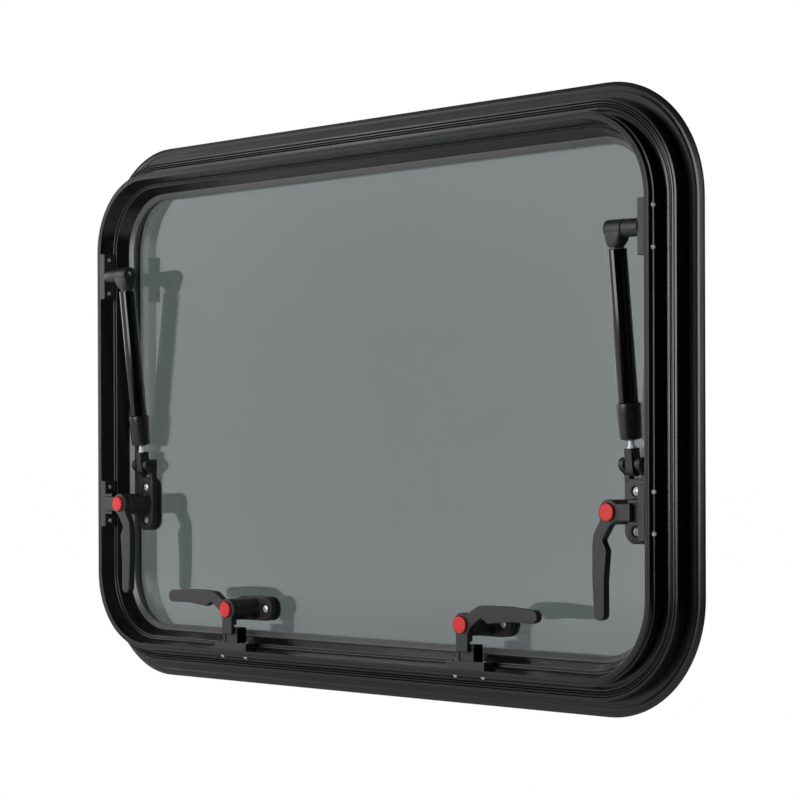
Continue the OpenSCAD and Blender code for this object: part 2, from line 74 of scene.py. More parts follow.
def stand(x, y, d):
    """A point drawn flat in millimetres, stood up in the wall in metres."""
    return Vector((x / 1000, -d / 1000, (MIDDLE_H + y) / 1000))


print("the middle stands at", tuple(round(c, 4) for c in stand(0, 0, 0)))

# %% [markdown]
# ## One set of coordinates for four latches
# The window has four latches of the same make: one at each side and two at the bottom. They could be
# copied and turned, which leaves some of them inside out. Here each latch is drawn once, with x
# towards the nearest wall of the frame, and a function carries its points to each of the four places.

# %% Places of the latches
SIDE_X, LATCH_Y = 309.0, -87.4
BOTTOM_X, BOTTOM_Y = 149.6, -181.2
PLACES = ("left", "right", "bottom_left", "bottom_right")


def at_side(place):
    return place in ("left", "right")


def latch_spot(place):
    """Turns a latch's own x (to the wall), y and d into window coordinates at one of the places."""
    flip = 1 if place in ("right", "bottom_left") else -1
    if at_side(place):
        return lambda x, y, d: stand(flip * (SIDE_X + x), LATCH_Y + y, d)
    return lambda x, y, d: stand(flip * (y - BOTTOM_X), BOTTOM_Y - x, d)


print("latches at", [tuple(round(c, 4) for c in latch_spot(p)(0, 0, 0)) for p in PLACES])

# %% [markdown]
# ## One helper for every node tree
# The finishes, the room and the rules for repeated pieces are all node trees. They could be wired in
# the node editor, but then nobody could rebuild them from this file. Wiring them line by line in a
# script is long to read, so one helper adds a node, sets its options, and sets or links its inputs.

# %% Add a node and fill its inputs
def fill(tree, node, inputs):
    """Inputs are named or numbered. A socket is linked, and anything else is set as a value."""
    for label, value in inputs.items():
        if isinstance(value, bpy.types.NodeSocket):
            tree.links.new(value, node.inputs[label])
        else:
            node.inputs[label].default_value = value
    return node


def add_node(tree, kind, inputs=None, **options):
    node = tree.nodes.new(kind)
    for option, value in options.items():
        setattr(node, option, value)
    return fill(tree, node, inputs or {})


def maths(tree, what, a, b, clamp=False):
    node = add_node(tree, "ShaderNodeMath", {0: a, 1: b}, operation=what, use_clamp=clamp)
    return node.outputs[0]


def ramp(tree, value, start, end, low=0.0, high=1.0, shape="LINEAR"):
    """Turns a value that runs from start to end into one that runs from low to high."""
    ranges = {"Value": value, "From Min": start, "From Max": end, "To Min": low, "To Max": high}
    return add_node(tree, "ShaderNodeMapRange", ranges, interpolation_type=shape).outputs["Result"]


print("helpers for node trees: fill, add_node, maths and ramp")

# %% [markdown]
# ## Finishes
# Moulded plastic is never one flat colour. Its skin has a very fine grain from the tool, slow
# changes of gloss where it cooled, and a few handling marks. A photograph of plastic could be wrapped
# round the pieces, but it would have to be fitted to each of them. Noise on object coordinates gives
# all of it without any image, and stays put when the camera moves.

# %% Noise and tones
def new_finish(name):
    """A new material, with its tree, its shader and the coordinates of the object."""
    material = bpy.data.materials.new(name)
    material.use_nodes = True
    tree = material.node_tree
    place = add_node(tree, "ShaderNodeTexCoord").outputs["Object"]
    return material, tree, tree.nodes["Principled BSDF"], place


def noise(tree, place, scale, detail=3.0, stretch=(1, 1, 1)):
    mapping = add_node(tree, "ShaderNodeMapping", {"Vector": place, "Scale": stretch})
    settings = {"Vector": mapping.outputs["Vector"], "Scale": scale, "Detail": detail}
    return add_node(tree, "ShaderNodeTexNoise", settings).outputs["Fac"]


def tone(tree, value, dark, light):
    """Mixes two close tones of one colour by a noise value."""
    inputs = {"Factor": value, 6: (*dark, 1), 7: (*light, 1)}
    return add_node(tree, "ShaderNodeMix", inputs, data_type="RGBA").outputs[2]


print("noise and tones ready")

# %% [markdown]
# ## Moulded plastics, rubber and zinc
# The frame is a satin black moulding, the fittings are a duller black, the stays' tubes are glossy
# enamel, the seal is grey rubber, the buttons are red and the screws are zinc-plated. Each could be a
# tree of its own, but they differ only in tone, gloss and grain. So one recipe takes these as values:
# a slow noise moves the tone and the gloss together, and a fine one gives the grain.

# %% Mix the finishes
SLOW_SCALE, GRAIN_STRENGTH = 14.0, 0.5
NOISE_LOW, NOISE_HIGH = 0.3, 0.7


def moulded(name, dark, light, rough, grain_size, grain_depth, stretch=(1, 1, 1), metal=0.0):
    material, tree, shader, place = new_finish(name)
    slow = noise(tree, place, SLOW_SCALE)
    fine = noise(tree, place, grain_size, 2.0, stretch)
    grain = add_node(tree, "ShaderNodeBump", {
        "Height": fine, "Distance": grain_depth, "Strength": GRAIN_STRENGTH})
    fill(tree, shader, {
        "Base Color": tone(tree, slow, dark, light),
        "Roughness": ramp(tree, slow, NOISE_LOW, NOISE_HIGH, *rough),
        "Normal": grain.outputs["Normal"],
        "Metallic": metal,
    })
    return material


frame_black = moulded(
    "Satin black moulding", (0.006, 0.006, 0.007), (0.010, 0.010, 0.011),
    rough=(0.20, 0.27), grain_size=2600, grain_depth=0.00003)
fitting_black = moulded(
    "Black fitting plastic", (0.018, 0.018, 0.019), (0.026, 0.026, 0.027),
    rough=(0.36, 0.44), grain_size=3200, grain_depth=0.00004)
tube_black = moulded(
    "Black enamelled tube", (0.002, 0.002, 0.002), (0.004, 0.004, 0.004),
    rough=(0.06, 0.09), grain_size=900, grain_depth=0.00001)
collar_dark = moulded(
    "Dark grey collar", (0.010, 0.010, 0.011), (0.015, 0.015, 0.016),
    rough=(0.24, 0.32), grain_size=2400, grain_depth=0.00003)
seal_rubber = moulded(
    "Grey seal rubber", (0.085, 0.086, 0.087), (0.110, 0.111, 0.112),
    rough=(0.28, 0.36), grain_size=1800, grain_depth=0.00005)
button_red = moulded(
    "Red button plastic", (0.720, 0.016, 0.012), (0.820, 0.024, 0.018),
    rough=(0.34, 0.42), grain_size=2600, grain_depth=0.00002)
zinc = moulded(
    "Zinc-plated steel", (0.84, 0.85, 0.86), (0.93, 0.94, 0.95),
    rough=(0.28, 0.38), grain_size=1500, grain_depth=0.00003, stretch=(1, 1, 0.2), metal=0.35)
finishes = (frame_black, fitting_black, tube_black, collar_dark, seal_rubber, button_red, zinc)
print("finishes", [finish.name for finish in finishes])

# %% [markdown]
# ## Tinted acrylic
# The panes are thick tinted acrylic. Seen at an angle they do two things at once: they mirror the
# room, and they let some of the light through, tinted grey-green. A plain grey mirror would look
# right from one side only. A coat over a see-through body gives both from every side, and a faint
# noise in the colour keeps the sheet from looking computed. Only the inner pane has the coat, so
# that the room isn't mirrored twice.

# %% Acrylic panes
def acrylic(name, gloss):
    material, tree, shader, place = new_finish(name)
    slow = noise(tree, place, 5.0, 2.0)
    fill(tree, shader, {
        "Base Color": tone(tree, slow, (0.335, 0.365, 0.365), (0.355, 0.385, 0.385)),
        "Roughness": 0.0,
        "IOR": 1.49,
        "Transmission Weight": 1.0,
        "Coat Weight": gloss,
        "Coat Roughness": 0.01,
        "Coat IOR": 1.55,
    })
    return material


inner_acrylic = acrylic("Inner tinted acrylic", 1.0)
outer_acrylic = acrylic("Outer tinted acrylic", 0.0)
print("acrylics", inner_acrylic.name, "and", outer_acrylic.name)

# %% [markdown]
# ## Keeping the books
# Each finished piece gets its material, rides on a body, and hides the solid that it stands for. That
# could be written out for every piece, but forty-two times is often enough to make a mistake. One
# function does it. Edges sharper than forty degrees stay crisp, while the small roundings shade
# smoothly.

# %% Finish a piece
CRISP_FROM = math.radians(40)


def keep(name, mesh, finish, solid, body="window"):
    mesh.materials.clear()
    mesh.materials.append(finish)
    mesh.polygons.foreach_set("use_smooth", [True] * len(mesh.polygons))
    mesh.set_sharp_from_angle(angle=CRISP_FROM)
    piece = bpy.data.objects.new(name.replace(" ", "_"), mesh)
    bpy.context.scene.collection.objects.link(piece)
    even = piece.modifiers.new("Even shading", "WEIGHTED_NORMAL")
    even.keep_sharp = True
    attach(piece, body)
    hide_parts(solid)


def from_shapes(name, shapes, finish, solid, body="window"):
    """Joins closed shapes, each a list of points and a list of faces, into one piece."""
    bm = bmesh.new()
    for points, faces in shapes:
        made = [bm.verts.new(p) for p in points]
        for face in faces:
            bm.faces.new([made[i] for i in face])
    bmesh.ops.recalc_face_normals(bm, faces=bm.faces)
    mesh = bpy.data.meshes.new(name)
    bm.to_mesh(mesh)
    bm.free()
    keep(name, mesh, finish, solid, body)


# %% [markdown]
# ## Outlines with soft corners
# Nothing that comes out of a mould has a dead sharp corner. A bevel can round the corners of a
# finished block, but it gives them all the same radius. Here each corner of the flat outline is
# rounded with its own small arc before anything is given a thickness.

# %% Draw, soften and shrink an outline
NEARLY_STRAIGHT = math.radians(176)
SHARE_OF_SIDE = 0.49


def arc(cx, cy, r, start, end, steps=16):
    turn = [math.radians(start + (end - start) * k / steps) for k in range(steps + 1)]
    return [(cx + r * math.cos(a), cy + r * math.sin(a)) for a in turn]


def soften(outline, r, steps=4):
    """Rounds each corner of a closed outline. The radius is one value or a list with one for each."""
    soft = []
    n = len(outline)
    for i, p in enumerate(outline):
        corner = Vector(p)
        back = Vector(outline[i - 1]) - corner
        on = Vector(outline[(i + 1) % n]) - corner
        size = r[i] if isinstance(r, (list, tuple)) else r
        angle = back.angle(on)
        if size <= 0 or angle > NEARLY_STRAIGHT:
            soft.append(tuple(corner))
            continue
        reach = min(size / math.tan(angle / 2), back.length * SHARE_OF_SIDE, on.length * SHARE_OF_SIDE)
        size = reach * math.tan(angle / 2)
        inwards = (back.normalized() + on.normalized()).normalized()
        middle = corner + inwards * (size / math.sin(angle / 2))
        first = corner + back.normalized() * reach - middle
        last = corner + on.normalized() * reach - middle
        sweep = first.angle_signed(last)
        for k in range(steps + 1):
            a = -sweep * k / steps
            soft.append((middle.x + first.x * math.cos(a) - first.y * math.sin(a),
                         middle.y + first.x * math.sin(a) + first.y * math.cos(a)))
    return soft


def shrink(outline, by):
    """Moves a closed outline inwards. It runs counter-clockwise."""
    small = []
    n = len(outline)
    for i in range(n):
        p, a, b = Vector(outline[i]), Vector(outline[i - 1]), Vector(outline[(i + 1) % n])
        one, two = (p - a).normalized(), (b - p).normalized()
        left = Vector((-one.y - two.y, one.x + two.x))
        left.normalize()
        small.append(tuple(p + left * by / max(0.5, left.dot(Vector((-one.y, one.x))))))
    return small


def counter_clockwise(outline):
    area = sum(outline[i - 1][0] * p[1] - p[0] * outline[i - 1][1] for i, p in enumerate(outline))
    return outline if area > 0 else outline[::-1]


print("a softened square has", len(soften([(0, 0), (9, 0), (9, 9), (0, 9)], 1.0)), "points")

# %% [markdown]
# ## Plates with rounded edges and sunk holes
# Brackets, levers, keepers and panes are plates. A plate could be cut from a block with booleans, but
# its roundings would come out uneven. Here the outline is stacked, with a smaller and smaller copy
# near the edge, which gives the rounding that catches light. A sunk hole is a short wall with a soft
# lip and a floor, and the front face is filled between its rim and the outline.

# %% Stack the rings of a plate
def edge_turns(steps):
    return [math.pi / 2 * k / steps for k in range(1, steps + 1)]


def stacked_rings(outline, back, front, edge, edge_back, steps):
    """Copies of the outline with their heights, from the back to the front."""
    rings = []
    if edge_back > 0:
        for a in edge_turns(steps)[::-1]:
            ring = shrink(outline, edge_back * (1 - math.cos(a)))
            rings.append((ring, back + edge_back * (1 - math.sin(a))))
    rings.append((outline, back + edge_back))
    rings.append((outline, front - edge))
    for a in edge_turns(steps):
        ring = shrink(outline, edge * (1 - math.cos(a)))
        rings.append((ring, front - edge * (1 - math.sin(a))))
    return rings


def wall_between(bm, loops):
    for low, high in zip(loops, loops[1:]):
        for i in range(len(low)):
            bm.faces.new((low[i - 1], low[i], high[i], high[i - 1]))


def rim_of(bm, loop):
    return [bm.edges.get((loop[i - 1], loop[i])) for i in range(len(loop))]


print("turns of an edge", [round(math.degrees(a)) for a in edge_turns(3)])

# %% Sink a hole and close the plate
HOLE_STEPS, HOLE_LIP, HOLE_FLOOR = 28, 0.35, 0.4


def sink_hole(bm, u, v, r, depth, front):
    """Makes the walls and the floor of a sunk hole and gives back the edges of its rim."""
    ring = [(math.cos(math.tau * k / HOLE_STEPS), math.sin(math.tau * k / HOLE_STEPS))
            for k in range(HOLE_STEPS)]
    profile = [(r + HOLE_LIP, front), (r + HOLE_LIP * 0.3, front - HOLE_LIP * 0.3), (r, front - HOLE_LIP),
               (r, front - depth), (HOLE_FLOOR, front - depth)]
    walls = [[bm.verts.new((u + c * q, v + s * q, h)) for c, s in ring] for q, h in profile]
    wall_between(bm, walls)
    bm.faces.new(walls[-1])
    return rim_of(bm, walls[0])


def plate(outline, back, front, edge, spot, holes=(), edge_back=0.0, steps=3):
    """A plate in its own plane; spot turns (u, v, height) into a place. Holes are (u, v, r, depth)."""
    rings = stacked_rings(counter_clockwise(outline), back, front, edge, edge_back, steps)
    bm = bmesh.new()
    loops = [[bm.verts.new((u, v, h)) for u, v in ring] for ring, h in rings]
    wall_between(bm, loops)
    bm.faces.new(loops[0][::-1])
    if holes:
        rims = rim_of(bm, loops[-1])
        for hole in holes:
            rims += sink_hole(bm, *hole, front)
        bmesh.ops.triangle_fill(bm, use_beauty=True, edges=rims)
    else:
        bm.faces.new(loops[-1])
    bm.verts.index_update()
    points = [spot(*v.co) for v in bm.verts]
    faces = [[v.index for v in f.verts] for f in bm.faces]
    bm.free()
    return points, faces


def block(low, high, edge, spot):
    """A block with rounded upright edges and a rounded front."""
    (x0, y0, d0), (x1, y1, d1) = low, high
    outline = soften([(x0, y0), (x1, y0), (x1, y1), (x0, y1)], edge, 3)
    return plate(outline, d0, d1, edge, spot)


print("a plain block has", len(block((0, 0, 0), (9, 9, 9), 1.0, stand)[0]), "points")

# %% [markdown]
# ## Turned pieces
# Posts, tubes, collars and buttons are round. A cylinder with a bevel would do for some of them, but
# the small steps and chamfers of a real turning are what make it look made. So each is a profile of
# distances and radii, carried round an axis, as on a lathe.

# %% Turn a profile round an axis
THINNEST = 0.01


def tube_faces(rings, steps):
    """Faces of a closed body whose points come in rings of the same number of steps."""
    faces = []
    for ring in range(rings - 1):
        for k in range(steps):
            a, b = ring * steps + k, ring * steps + (k + 1) % steps
            faces.append([a, b, b + steps, a + steps])
    last = (rings - 1) * steps
    return faces + [list(range(steps))[::-1], list(range(last, last + steps))]


def turned(profile, start, along, spot, steps=48):
    """Profile is (distance, radius) from end to end; start and along are in the piece's own space."""
    along = Vector(along).normalized()
    side = along.orthogonal().normalized()
    other = along.cross(side)
    points = []
    for s, r in profile:
        for k in range(steps):
            a = math.tau * k / steps
            outwards = side * math.cos(a) + other * math.sin(a)
            points.append(spot(*(Vector(start) + along * s + outwards * max(r, THINNEST))))
    return points, tube_faces(len(profile), steps)


def rounded_ends(length, radius, edge):
    """The profile of a bar with a small rounding at both ends."""
    turn = [math.pi / 2 * k / 3 for k in range(4)]
    start = [(edge * (1 - math.sin(a)), radius - edge * (1 - math.cos(a))) for a in turn[::-1]]
    end = [(length - edge * (1 - math.sin(a)), radius - edge * (1 - math.cos(a))) for a in turn]
    return start + end


print("a bar's profile has", len(rounded_ends(10.0, 2.0, 0.3)), "steps")

# %% [markdown]
# ## Rules made of Geometry Nodes
# Three things on this window follow a rule: the moulded section that runs round it, the saw cuts in
# it, and the screws. Each gets a Geometry Nodes tree with named inputs for its sizes. The first
# helper opens such a tree and the second closes it: it makes instances real, because an export drops
# them, and sets the finish. The third runs a tree on a mesh and hands back a plain mesh.

# %% Open, close and run a rule
DOUBLES = 1e-7


def new_rule(name, inputs):
    """Opens a tree. Each input is a name, a kind and, for a size, its value."""
    tree = bpy.data.node_groups.new(name, "GeometryNodeTree")
    for label, kind, *value in inputs + [("Finish", "Material")]:
        socket = tree.interface.new_socket(name=label, in_out="INPUT", socket_type="NodeSocket" + kind)
        if value:
            socket.default_value = value[0]
    tree.interface.new_socket(name="Piece", in_out="OUTPUT", socket_type="NodeSocketGeometry")
    return tree, tree.nodes.new("NodeGroupInput").outputs


def end_rule(tree, shape, finish):
    real = add_node(tree, "GeometryNodeRealizeInstances", {"Geometry": shape})
    paint = add_node(tree, "GeometryNodeSetMaterial", {
        "Geometry": real.outputs["Geometry"], "Material": finish})
    add_node(tree, "NodeGroupOutput", {"Piece": paint.outputs["Geometry"]})
    return tree


def made_by(tree, mesh, values):
    """Runs a tree on a mesh with named values and returns the plain mesh that comes out."""
    carrier = bpy.data.objects.new("Carrier", mesh)
    bpy.context.scene.collection.objects.link(carrier)
    rule = carrier.modifiers.new("Rule", "NODES")
    rule.node_group = tree
    for item in tree.interface.items_tree:
        if item.in_out == "INPUT" and item.name in values:
            rule[item.identifier] = values[item.name]
    graph = bpy.context.evaluated_depsgraph_get()
    made = bpy.data.meshes.new_from_object(carrier.evaluated_get(graph), depsgraph=graph)
    bpy.data.objects.remove(carrier)
    bm = bmesh.new()
    bm.from_mesh(made)
    bmesh.ops.remove_doubles(bm, verts=bm.verts, dist=DOUBLES)
    bmesh.ops.recalc_face_normals(bm, faces=bm.faces)
    bm.to_mesh(made)
    bm.free()
    return made


print("helpers for rules: new_rule, end_rule and made_by")

# %% [markdown]
# ## The moulded frame is one section bent round the window
# The real frame is a long plastic moulding, so its shape follows one rule: a section that runs along
# a rounded rectangle. Modelling it face by face would be slow and uneven. A tree does it in one step:
# a rectangle, filleted, with the section carried along it. The seal, the rim and the spacer are the
# same tree with other sections.

# %% The tree that bends a section round the window
FLANGE_W, FLANGE_H, CORNER_R = 748.0, 500.0, 97.0


def bend_tree():
    tree, given = new_rule("Bend a section round the window", [
        ("Section", "Geometry"), ("Width", "Float", FLANGE_W / 1000),
        ("Height", "Float", FLANGE_H / 1000), ("Corner radius", "Float", CORNER_R / 1000),
        ("Corner steps", "Int", 24)])
    path = add_node(tree, "GeometryNodeCurvePrimitiveQuadrilateral", {
        "Width": given["Width"], "Height": given["Height"]})
    fillet = add_node(tree, "GeometryNodeFilletCurve", {
        "Curve": path.outputs["Curve"], "Count": given["Corner steps"],
        "Radius": given["Corner radius"]}, mode="POLY")
    section = add_node(tree, "GeometryNodeMeshToCurve", {"Mesh": given["Section"]})
    sweep = add_node(tree, "GeometryNodeCurveToMesh", {
        "Curve": fillet.outputs["Curve"], "Profile Curve": section.outputs["Curve"]})
    upright = add_node(tree, "GeometryNodeTransform", {
        "Geometry": sweep.outputs["Mesh"], "Rotation": (math.pi / 2, 0, 0),
        "Translation": (0, 0, MIDDLE_H / 1000)})
    return end_rule(tree, upright.outputs["Geometry"], given["Finish"])


bend = bend_tree()


def bent(name, section, finish, solid, after=None):
    """Section is a list of (distance in from the flange's edge, height above the seat)."""
    mesh = bpy.data.meshes.new(name + " section")
    count = len(section)
    edges = [(i, (i + 1) % count) for i in range(count)]
    mesh.from_pydata([(-o / 1000, -d / 1000, 0) for o, d in section], edges, [])
    made = made_by(bend, mesh, {"Finish": finish})
    if after:
        made = after(made)
    reach = [[v.co[axis] for v in made.vertices] for axis in range(3)]
    size = [round(max(r) - min(r), 4) for r in reach]
    print(name, "points", count, "size", size, "faces", len(made.polygons))
    keep(name, made, finish, solid)


# %% [markdown]
# ## Saw cuts in the moulding
# The middle ridge of the real moulding has short cuts across it, in pairs about the middle and near
# the corners, where a matching inner frame is clipped in. Dark lines painted on the ridge would be
# quicker, but they wouldn't hold a shadow. A small tree puts a block on each point and takes all of
# them out of the moulding at once, so the cuts are real.

# %% The tree that makes saw cuts
def cut_tree():
    tree, given = new_rule("Saw cuts", [
        ("Moulding", "Geometry"), ("Spots", "Object"), ("Cut width", "Float", 0.0009),
        ("Cut depth", "Float", 0.0022), ("Cut length", "Float", 0.0030)])
    spots = add_node(tree, "GeometryNodeObjectInfo", {"Object": given["Spots"]})
    points = add_node(tree, "GeometryNodeMeshToPoints", {"Mesh": spots.outputs["Geometry"]})
    size = add_node(tree, "ShaderNodeCombineXYZ", {
        "X": given["Cut width"], "Y": given["Cut depth"], "Z": given["Cut length"]})
    saw = add_node(tree, "GeometryNodeMeshCube", {"Size": size.outputs[0]})
    place = add_node(tree, "GeometryNodeInstanceOnPoints", {
        "Points": points.outputs["Points"], "Instance": saw.outputs["Mesh"]})
    real = add_node(tree, "GeometryNodeRealizeInstances", {"Geometry": place.outputs["Instances"]})
    cut = add_node(tree, "GeometryNodeMeshBoolean", {
        "Mesh 1": given["Moulding"], "Mesh 2": real.outputs["Geometry"]}, operation="DIFFERENCE")
    return end_rule(tree, cut.outputs["Mesh"], given["Finish"])


saw_cuts = cut_tree()
CUT_X, CUT_Y, CUT_D = (31.0, 141.5, 282.0), 227.7, 13.9


def sawn(mesh):
    """The moulding with its saw cuts."""
    places = [stand(a * x, b * CUT_Y, CUT_D) for x in CUT_X for a in (-1, 1) for b in (-1, 1)]
    spots = bpy.data.meshes.new("Saw cut spots")
    spots.from_pydata(places, [], [])
    holder = bpy.data.objects.new("Saw cut spots", spots)
    bpy.context.scene.collection.objects.link(holder)
    made = made_by(saw_cuts, mesh, {"Spots": holder, "Finish": frame_black})
    print("saw cuts", len(places), "faces before", len(mesh.polygons), "and after", len(made.polygons))
    bpy.data.objects.remove(holder)
    return made


# %% [markdown]
# ## The frame's section
# Cut across, the real moulding steps in from a flat flange to a shoulder with three fine grooves, a
# ledge, a wall with a thin rib, and a slope down to the pane. The flange rises very slightly, which
# is what draws the soft band of light along it. The fine grooves could be a bump in the finish, but
# their edges catch light, so they are in the section. Each point has its own corner radius.

# %% Draw the frame's section and bend it
frame_section = [
    # the flange: its edge, a hairline step and the flat seat
    (0.0, -1.9, 0.5), (3.4, -0.55, 1.6), (5.2, -0.36, 0.3), (7.1, -0.8, 0.1), (7.4, -0.2, 0.1),
    (10.5, -0.05, 0.5), (12.9, 0.0, 0.1), (13.3, -0.9, 0.1), (14.0, -0.9, 0.1),
    # the shoulder with its three grooves
    (14.0, 13.3, 0.4), (15.8, 13.8, 0.3), (16.3, 13.7, 0.15), (16.75, 10.9, 0.05), (17.2, 13.5, 0.1),
    (18.4, 13.8, 0.2), (18.9, 10.7, 0.05), (19.4, 13.4, 0.1), (20.2, 13.5, 0.1), (20.7, 10.9, 0.05),
    (21.3, 13.2, 0.15), (23.4, 13.8, 0.3), (23.8, 11.2, 0.1), (27.0, 12.0, 0.3),
    # the wall with its rib, and the indoor end
    (27.0, 25.2, 0.1), (25.6, 25.5, 0.1), (25.6, 26.4, 0.1), (27.0, 26.75, 0.1), (27.0, 31.0, 0.5),
    (28.6, 31.0, 0.1), (28.8, 30.7, 0.1), (29.0, 31.0, 0.1), (32.0, 31.0, 0.6),
    # the reveal, the ledge with its groove and the slope down to the pane
    (35.2, 17.8, 0.6), (36.1, 17.45, 0.15), (36.4, 16.1, 0.1), (37.2, 15.8, 0.1), (37.5, 16.9, 0.15),
    (38.5, 16.5, 0.5), (43.3, 5.8, 0.5), (43.3, -2.7, 0.3),
    # the back
    (19.5, -2.7, 0.2), (19.5, -4.5, 0.4), (1.4, -4.5, 0.6), (0.0, -3.2, 0.6),
]
frame_points = [(o, d) for o, d, r in frame_section]
frame_radii = [r for o, d, r in frame_section]
bent("Frame moulding", soften(frame_points, frame_radii, 3), frame_black, "outer_frame", sawn)

# %% [markdown]
# ## The seal, the sash rim and the spacer
# A grey rubber lip closes the gap between the frame and the pane. Behind it a dark rim runs round the
# window that opens, and a spacer keeps its two panes apart. They are long profiles too, so they are
# bent by the same tree, each with a section of a few points.

# %% Bend the seal, the rim and the spacer
seal_section = [
    (43.35, 5.6), (44.4, 5.4), (48.2, 2.8), (48.4, 1.8), (47.6, -0.2), (47.9, -2.7), (43.35, -2.7)]
rim_section = [(20.5, -2.8), (24.0, -2.8), (24.0, -17.8), (20.5, -17.8)]
spacer_section = [(24.1, -5.9), (34.1, -5.9), (34.1, -17.7), (24.1, -17.7)]
bent("Seal", soften(seal_section, 0.35, 3), seal_rubber, "sash_seal")
bent("Sash rim", soften(rim_section, 0.5, 3), frame_black, "sash_rim")
bent("Pane spacer", soften(spacer_section, 0.6, 3), frame_black, "pane_spacer")

# %% [markdown]
# ## The panes
# Each pane is a flat sheet with the window's outline, polished round its edge. It could be bent from
# a section as well, but then its middle would stay open. A flat sheet needs only its outline and a
# fine rounding, so it is a plate like the fittings, with long straight runs.

# %% Cut the panes
INNER_INSET, OUTER_INSET = 24.1, 20.5


def window_outline(inset):
    r, x, y = CORNER_R - inset, FLANGE_W / 2 - inset, FLANGE_H / 2 - inset
    corners = [(x - r, y - r, 0), (r - x, y - r, 90), (r - x, r - y, 180), (x - r, r - y, 270)]
    return [p for cx, cy, start in corners for p in arc(cx, cy, r, start, start + 90, 20)]


inner = plate(window_outline(INNER_INSET), -5.8, -2.8, 0.3, stand, edge_back=0.3)
outer = plate(window_outline(OUTER_INSET), -21.8, -17.8, 0.3, stand, edge_back=1.2)
from_shapes("Inner pane", [inner], inner_acrylic, "inner_pane")
from_shapes("Outer pane", [outer], outer_acrylic, "outer_pane")
print("inner pane", len(inner[0]), "points, outer pane", len(outer[0]))

# %% [markdown]
# ## Brackets on the pane
# A bracket is a plate with two sunk screw recesses and a round post that carries the lever. At the
# sides it also has two ears for the foot of the stay. The recesses could be dark rings on the plate,
# but a painted ring gives itself away in every other view, so they are real holes in its front.

# %% Outlines of a bracket and its ears
BRACKET_W, BRACKET_END, SCREW_HALF = 22.0, 25.5, 15.7
PIN_Y, PIN_D = 36.9, 5.75
PLATE_BACK, PLATE_FRONT = -2.7, 3.5


def bracket_outline(flat_top):
    r = BRACKET_W / 2
    foot = arc(0, r - BRACKET_END, r, 180, 360, 18)
    if flat_top:
        top = [(r, 0), (r, BRACKET_END), (-r, BRACKET_END), (-r, 0)]
        return foot + soften(top, [0, 2.0, 2.0, 0], 3)
    return foot + arc(0, BRACKET_END - r, r, 0, 180, 18)


def ear_outline():
    low = [(24.0, PLATE_BACK), (42.4, PLATE_BACK)]
    return low + arc(PIN_Y, PIN_D, 5.5, 0, 150, 14) + [(28.2, PLATE_FRONT), (24.0, PLATE_FRONT)]


print("bracket outline", len(bracket_outline(True)), "points, ear", len(ear_outline()))

# %% Make the brackets
POST = [(0, 10.9), (0.5, 10.3), (1.4, 9.85), (2.4, 9.75), (24.3, 9.75), (24.6, 9.4)]
RECESS_R, RECESS_DEPTH = 4.25, 2.5
EARS = ((-11.0, -5.6), (5.6, 11.0))


def bracket(with_ears, spot):
    recesses = [(0, y, RECESS_R, RECESS_DEPTH) for y in (SCREW_HALF, -SCREW_HALF)]
    shapes = [plate(bracket_outline(with_ears), PLATE_BACK, PLATE_FRONT, 0.9, spot, recesses)]
    shapes.append(turned(POST, (0, 0, 3.0), (0, 0, 1), spot, 56))
    if with_ears:
        for low, high in EARS:
            ear_spot = lambda u, v, h: spot(h, u, v)
            shapes.append(plate(ear_outline(), low, high, 0.6, ear_spot, edge_back=0.6))
        collar = rounded_ends(11.4, 3.3, 0.3)
        shapes.append(turned(collar, (-5.7, PIN_Y, PIN_D), (1, 0, 0), spot, 28))
    return shapes


for place in PLACES:
    shapes = bracket(at_side(place), latch_spot(place))
    from_shapes("Bracket " + place, shapes, fitting_black, "bracket_" + place)
print("brackets", len(PLACES))

# %% [markdown]
# ## Shapes behind the pane
# Through the tinted pane each bracket shows a dark shape of the same outline, where the real window
# has a backing piece between its panes. A dark patch in the acrylic's colour would do from straight
# ahead, but it wouldn't shift behind the pane as the view turns. So each is a thin plate of its own.

# %% Make the shapes behind the pane
INSERT_BACK, INSERT_FRONT = -9.5, -5.9
inserts = [plate(bracket_outline(False), INSERT_BACK, INSERT_FRONT, 0.5, latch_spot(place))
           for place in PLACES]
from_shapes("Shapes behind the pane", inserts, fitting_black, "pane_inserts")
print("shapes behind the pane", len(inserts))

# %% [markdown]
# ## Plates on the reveal
# The stays and the keepers are screwed to wedge-shaped plates on the reveal. Their back follows the
# reveal's slope and their face is square to the opening. A wedge could be cut out of a block for each
# place. Instead the plate is drawn on its face, and the place function leans its back by the slope,
# so one shape serves all six. Three numbers change from the sides to the bottom: how far the plate's
# face and the frame's outside are from a latch's place, and how thick the plate is.

# %% Outline of a wall plate
PLATE_HALF, SLOPE = 21.8, 3.2 / 13.2
PLATE_LOW, END_D = 17.9, 31.0
WALL_SCREW_Y, WALL_SCREW_D = 16.0, 24.8
SIDE_FACE, SIDE_THICK, SIDE_OUTSIDE = 26.5, 6.5, 38.6
BOTTOM_FACE, BOTTOM_THICK, BOTTOM_OUTSIDE = 29.8, 7.0, 42.4


def wall_plate(face_x, thick, spot):
    half = PLATE_HALF
    corners = [(-half, PLATE_LOW), (half, PLATE_LOW), (half, END_D), (-half, END_D)]
    outline = soften(corners, [2.6, 2.6, 0.6, 0.6], 5)
    recesses = [(y, WALL_SCREW_D, 4.2, 1.7) for y in (WALL_SCREW_Y, -WALL_SCREW_Y)]

    def on_face(u, v, h):
        depth = thick - 0.1 - SLOPE * (END_D - v)
        return spot(face_x + (1 - h / thick) * depth, u, v)

    return plate(outline, 0, thick, 0.5, on_face, recesses)


print("the reveal leans", round(math.degrees(math.atan(SLOPE)), 1), "degrees")

